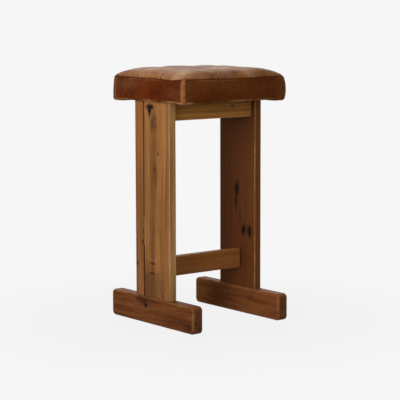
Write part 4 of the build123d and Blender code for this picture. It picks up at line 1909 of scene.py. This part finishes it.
@dataclass
class Studio:
    """Pale floor and backdrop, soft lamps and the camera, in metres."""

    backdrop: float = 0.9216
    front_glow: float = 0.16
    rear_glow: float = 1.7
    glow_range: Range = (0.3, 0.9)
    glow_tint: tuple[float, float, float] = (1.0, 0.95, 0.87)
    window_side: tuple[float, float, float] = (0.55, 0.75, 0.36)
    floor_tone: float = 0.34
    floor_half: float = 6.0
    shadow_range: Range = (0.25, 0.9)
    shadow_share: float = 0.94
    camera_place: tuple[float, float, float] = (-2.7863, -3.5371, 0.9172)
    camera_turn: tuple[float, float, float] = (82.838, 0.1354, -38.292)
    lens: float = 138.2
    sensor: float = 36.0
    farthest: float = 50.0
    aim: tuple[float, float, float] = (0.0, 0.0, 0.45)
    lamps: tuple[Lamp, ...] = (
        Lamp("key_lamp", (-3.1, -1.0, 1.6), (1.6, 1.6), 78.0),
        Lamp("front_lamp", (-1.5, -3.2, 1.1), (1.8, 1.8), 30.0),
        Lamp("window_lamp", (2.3, 3.1, 1.75), (2.4, 1.4), 24.0),
    )

    def build(self) -> None:
        """Makes the stage, the light and the camera."""
        self.make_world()
        self.make_floor()
        for lamp in self.lamps:
            self.light(lamp)
        data = bpy.data.cameras.new("camera")
        data.lens, data.sensor_width, data.clip_end = self.lens, self.sensor, self.farthest
        camera = linked("camera", data)
        camera.location = self.camera_place
        camera.rotation_euler = Euler(tuple(math.radians(a) for a in self.camera_turn), "XYZ")
        bpy.context.scene.camera = camera
        bpy.context.scene.view_settings.view_transform = "Standard"

    def seen(self, nodes: Nodes) -> Term:
        """Adds the share of rays that see the backdrop: those of the camera, of gloss and of glass.

        Args:
            nodes: the tree that asks.

        Returns:
            1 for such a ray and 0 for others.
        """
        path = nodes.add("ShaderNodeLightPath", {})
        rays = ("Is Camera Ray", "Is Glossy Ray", "Is Transmission Ray")
        return nodes.highest([Term(nodes, path.outputs[name]) for name in rays])

    def make_world(self) -> None:
        """Makes a world that looks pale, and lights like a room with its big window behind the stool."""
        world = bpy.data.worlds.new("studio")
        bpy.context.scene.world = world
        world.use_nodes = True
        nodes = Nodes(world.node_tree)
        looking = nodes.make("ShaderNodeTexCoord", {}, "Generated")
        towards = {0: looking, 1: self.window_side}
        towards = nodes.make("ShaderNodeVectorMath", towards, "Value", operation="DOT_PRODUCT")
        glow = nodes.ease(towards, *self.glow_range, self.front_glow, self.rear_glow)
        room = nodes.make("ShaderNodeBackground", {0: self.glow_tint + (1.0,), 1: glow})
        pale = nodes.make("ShaderNodeBackground", {0: (self.backdrop,) * 3 + (1.0,)})
        mix = nodes.make("ShaderNodeMixShader", {0: self.seen(nodes), 1: room, 2: pale})
        nodes.add("ShaderNodeOutputWorld", {0: mix})

    def make_floor(self) -> None:
        """Makes the floor, whose own colour carries the backdrop and which keeps a soft shadow."""
        half = self.floor_half
        mesh = bpy.data.meshes.new("floor")
        corners = [(-half, -half, 0), (half, -half, 0), (half, half, 0), (-half, half, 0)]
        mesh.from_pydata(corners, [], [(0, 1, 2, 3)])
        floor = linked("floor", mesh)
        material = bpy.data.materials.new("floor_paper")
        material.use_nodes = True
        nodes = Nodes(material.node_tree)
        place = nodes.make("ShaderNodeTexCoord", {}, "Object")
        away = nodes.make("ShaderNodeVectorMath", {0: place}, "Value", operation="LENGTH")
        paper = self.seen(nodes) * nodes.ease(away, *self.shadow_range, self.shadow_share, 1.0)
        matt = nodes.make("ShaderNodeBsdfDiffuse", {0: (self.floor_tone,) * 3 + (1.0,)})
        glow = nodes.make("ShaderNodeEmission", {0: (self.backdrop,) * 3 + (1.0,)})
        mix = nodes.make("ShaderNodeMixShader", {0: paper, 1: matt, 2: glow})
        nodes.add("ShaderNodeOutputMaterial", {0: mix})
        mesh.materials.append(material)

    def light(self, lamp: Lamp) -> None:
        """Adds a lamp that looks at the middle of the stool.

        Args:
            lamp: its place, size and power.
        """
        data = bpy.data.lights.new(lamp.name, "AREA")
        data.shape, data.energy = "RECTANGLE", lamp.power
        data.size, data.size_y = lamp.size
        made = linked(lamp.name, data)
        made.visible_camera = False
        made.location = lamp.place
        made.rotation_euler = (Vector(self.aim) - Vector(lamp.place)).to_track_quat("-Z", "Y").to_euler()


def main() -> None:
    """Builds the stool's pieces in order."""
    logging.basicConfig(level=logging.INFO, format="%(message)s")
    Studio().build()
    form = SeatForm()
    # The crown's leather is a paler copy of the bands' leather, partly painted light for the lit top; its
    # pale colour is that of the painted highlights and its dark one that of the painted shade.
    crown = {"deep": "64300e", "body": "8e561f", "wear_and_highlight_colour": "c8a07a", "painted_shade_colour": "2c1104", "sheen": 0.06}
    cover = TopCover(form, LeatherFinish("crown_leather", **crown).build())
    cover.build()
    leather = LeatherFinish("seat_leather").build()
    flank = LeatherFinish("flank_leather", deep="4a2208", body="623210", contrast=0.3).build()
    bands = SideBands(form, {side: leather if side.value[0] else flank for side in Side})
    bands.build()
    # The front-left welt's paler leather is wear and a painted highlight along its rolled crest.
    welt = LeatherFinish("welt_leather", deep="62300f", body="8c4e21", wear_and_highlight_colour="b8824e").build()
    CornerWelts(form, welt, flank).build()
    foam = PlainFinish("foam", "ead9a2", "cdb878", cell=1.2, depth=0.5, rough=0.9).build()
    fluff = {"cell": 2.2, "stretch": (1.0, 0.2, 1.0), "depth": 0.6, "rough": 0.95}
    fleece = PlainFinish("wadding", "f2efe6", "d8d3c4", **fluff).build()
    Filling(cover, foam, fleece).build()
    cloth = PlainFinish("black_cloth", "1c1c1e", "0c0c0d", cell=1.1, depth=0.15, rough=0.85).build()
    DustCover(cloth).build()
    twist = {"cell": 0.5, "stretch": (1.0, 1.0, 0.4), "depth": 0.1, "rough": 0.7}
    dark_thread = PlainFinish("dark_thread", "4a2a14", "2c170a", **twist).build()
    pale_thread = PlainFinish("pale_thread", "d6b48a", "a97f55", **twist).build()
    Stitching(cover, bands, dark_thread, pale_thread).build()
    TimberFrame().build()
    Fasteners().build()


if __name__ == "__main__":
    main()
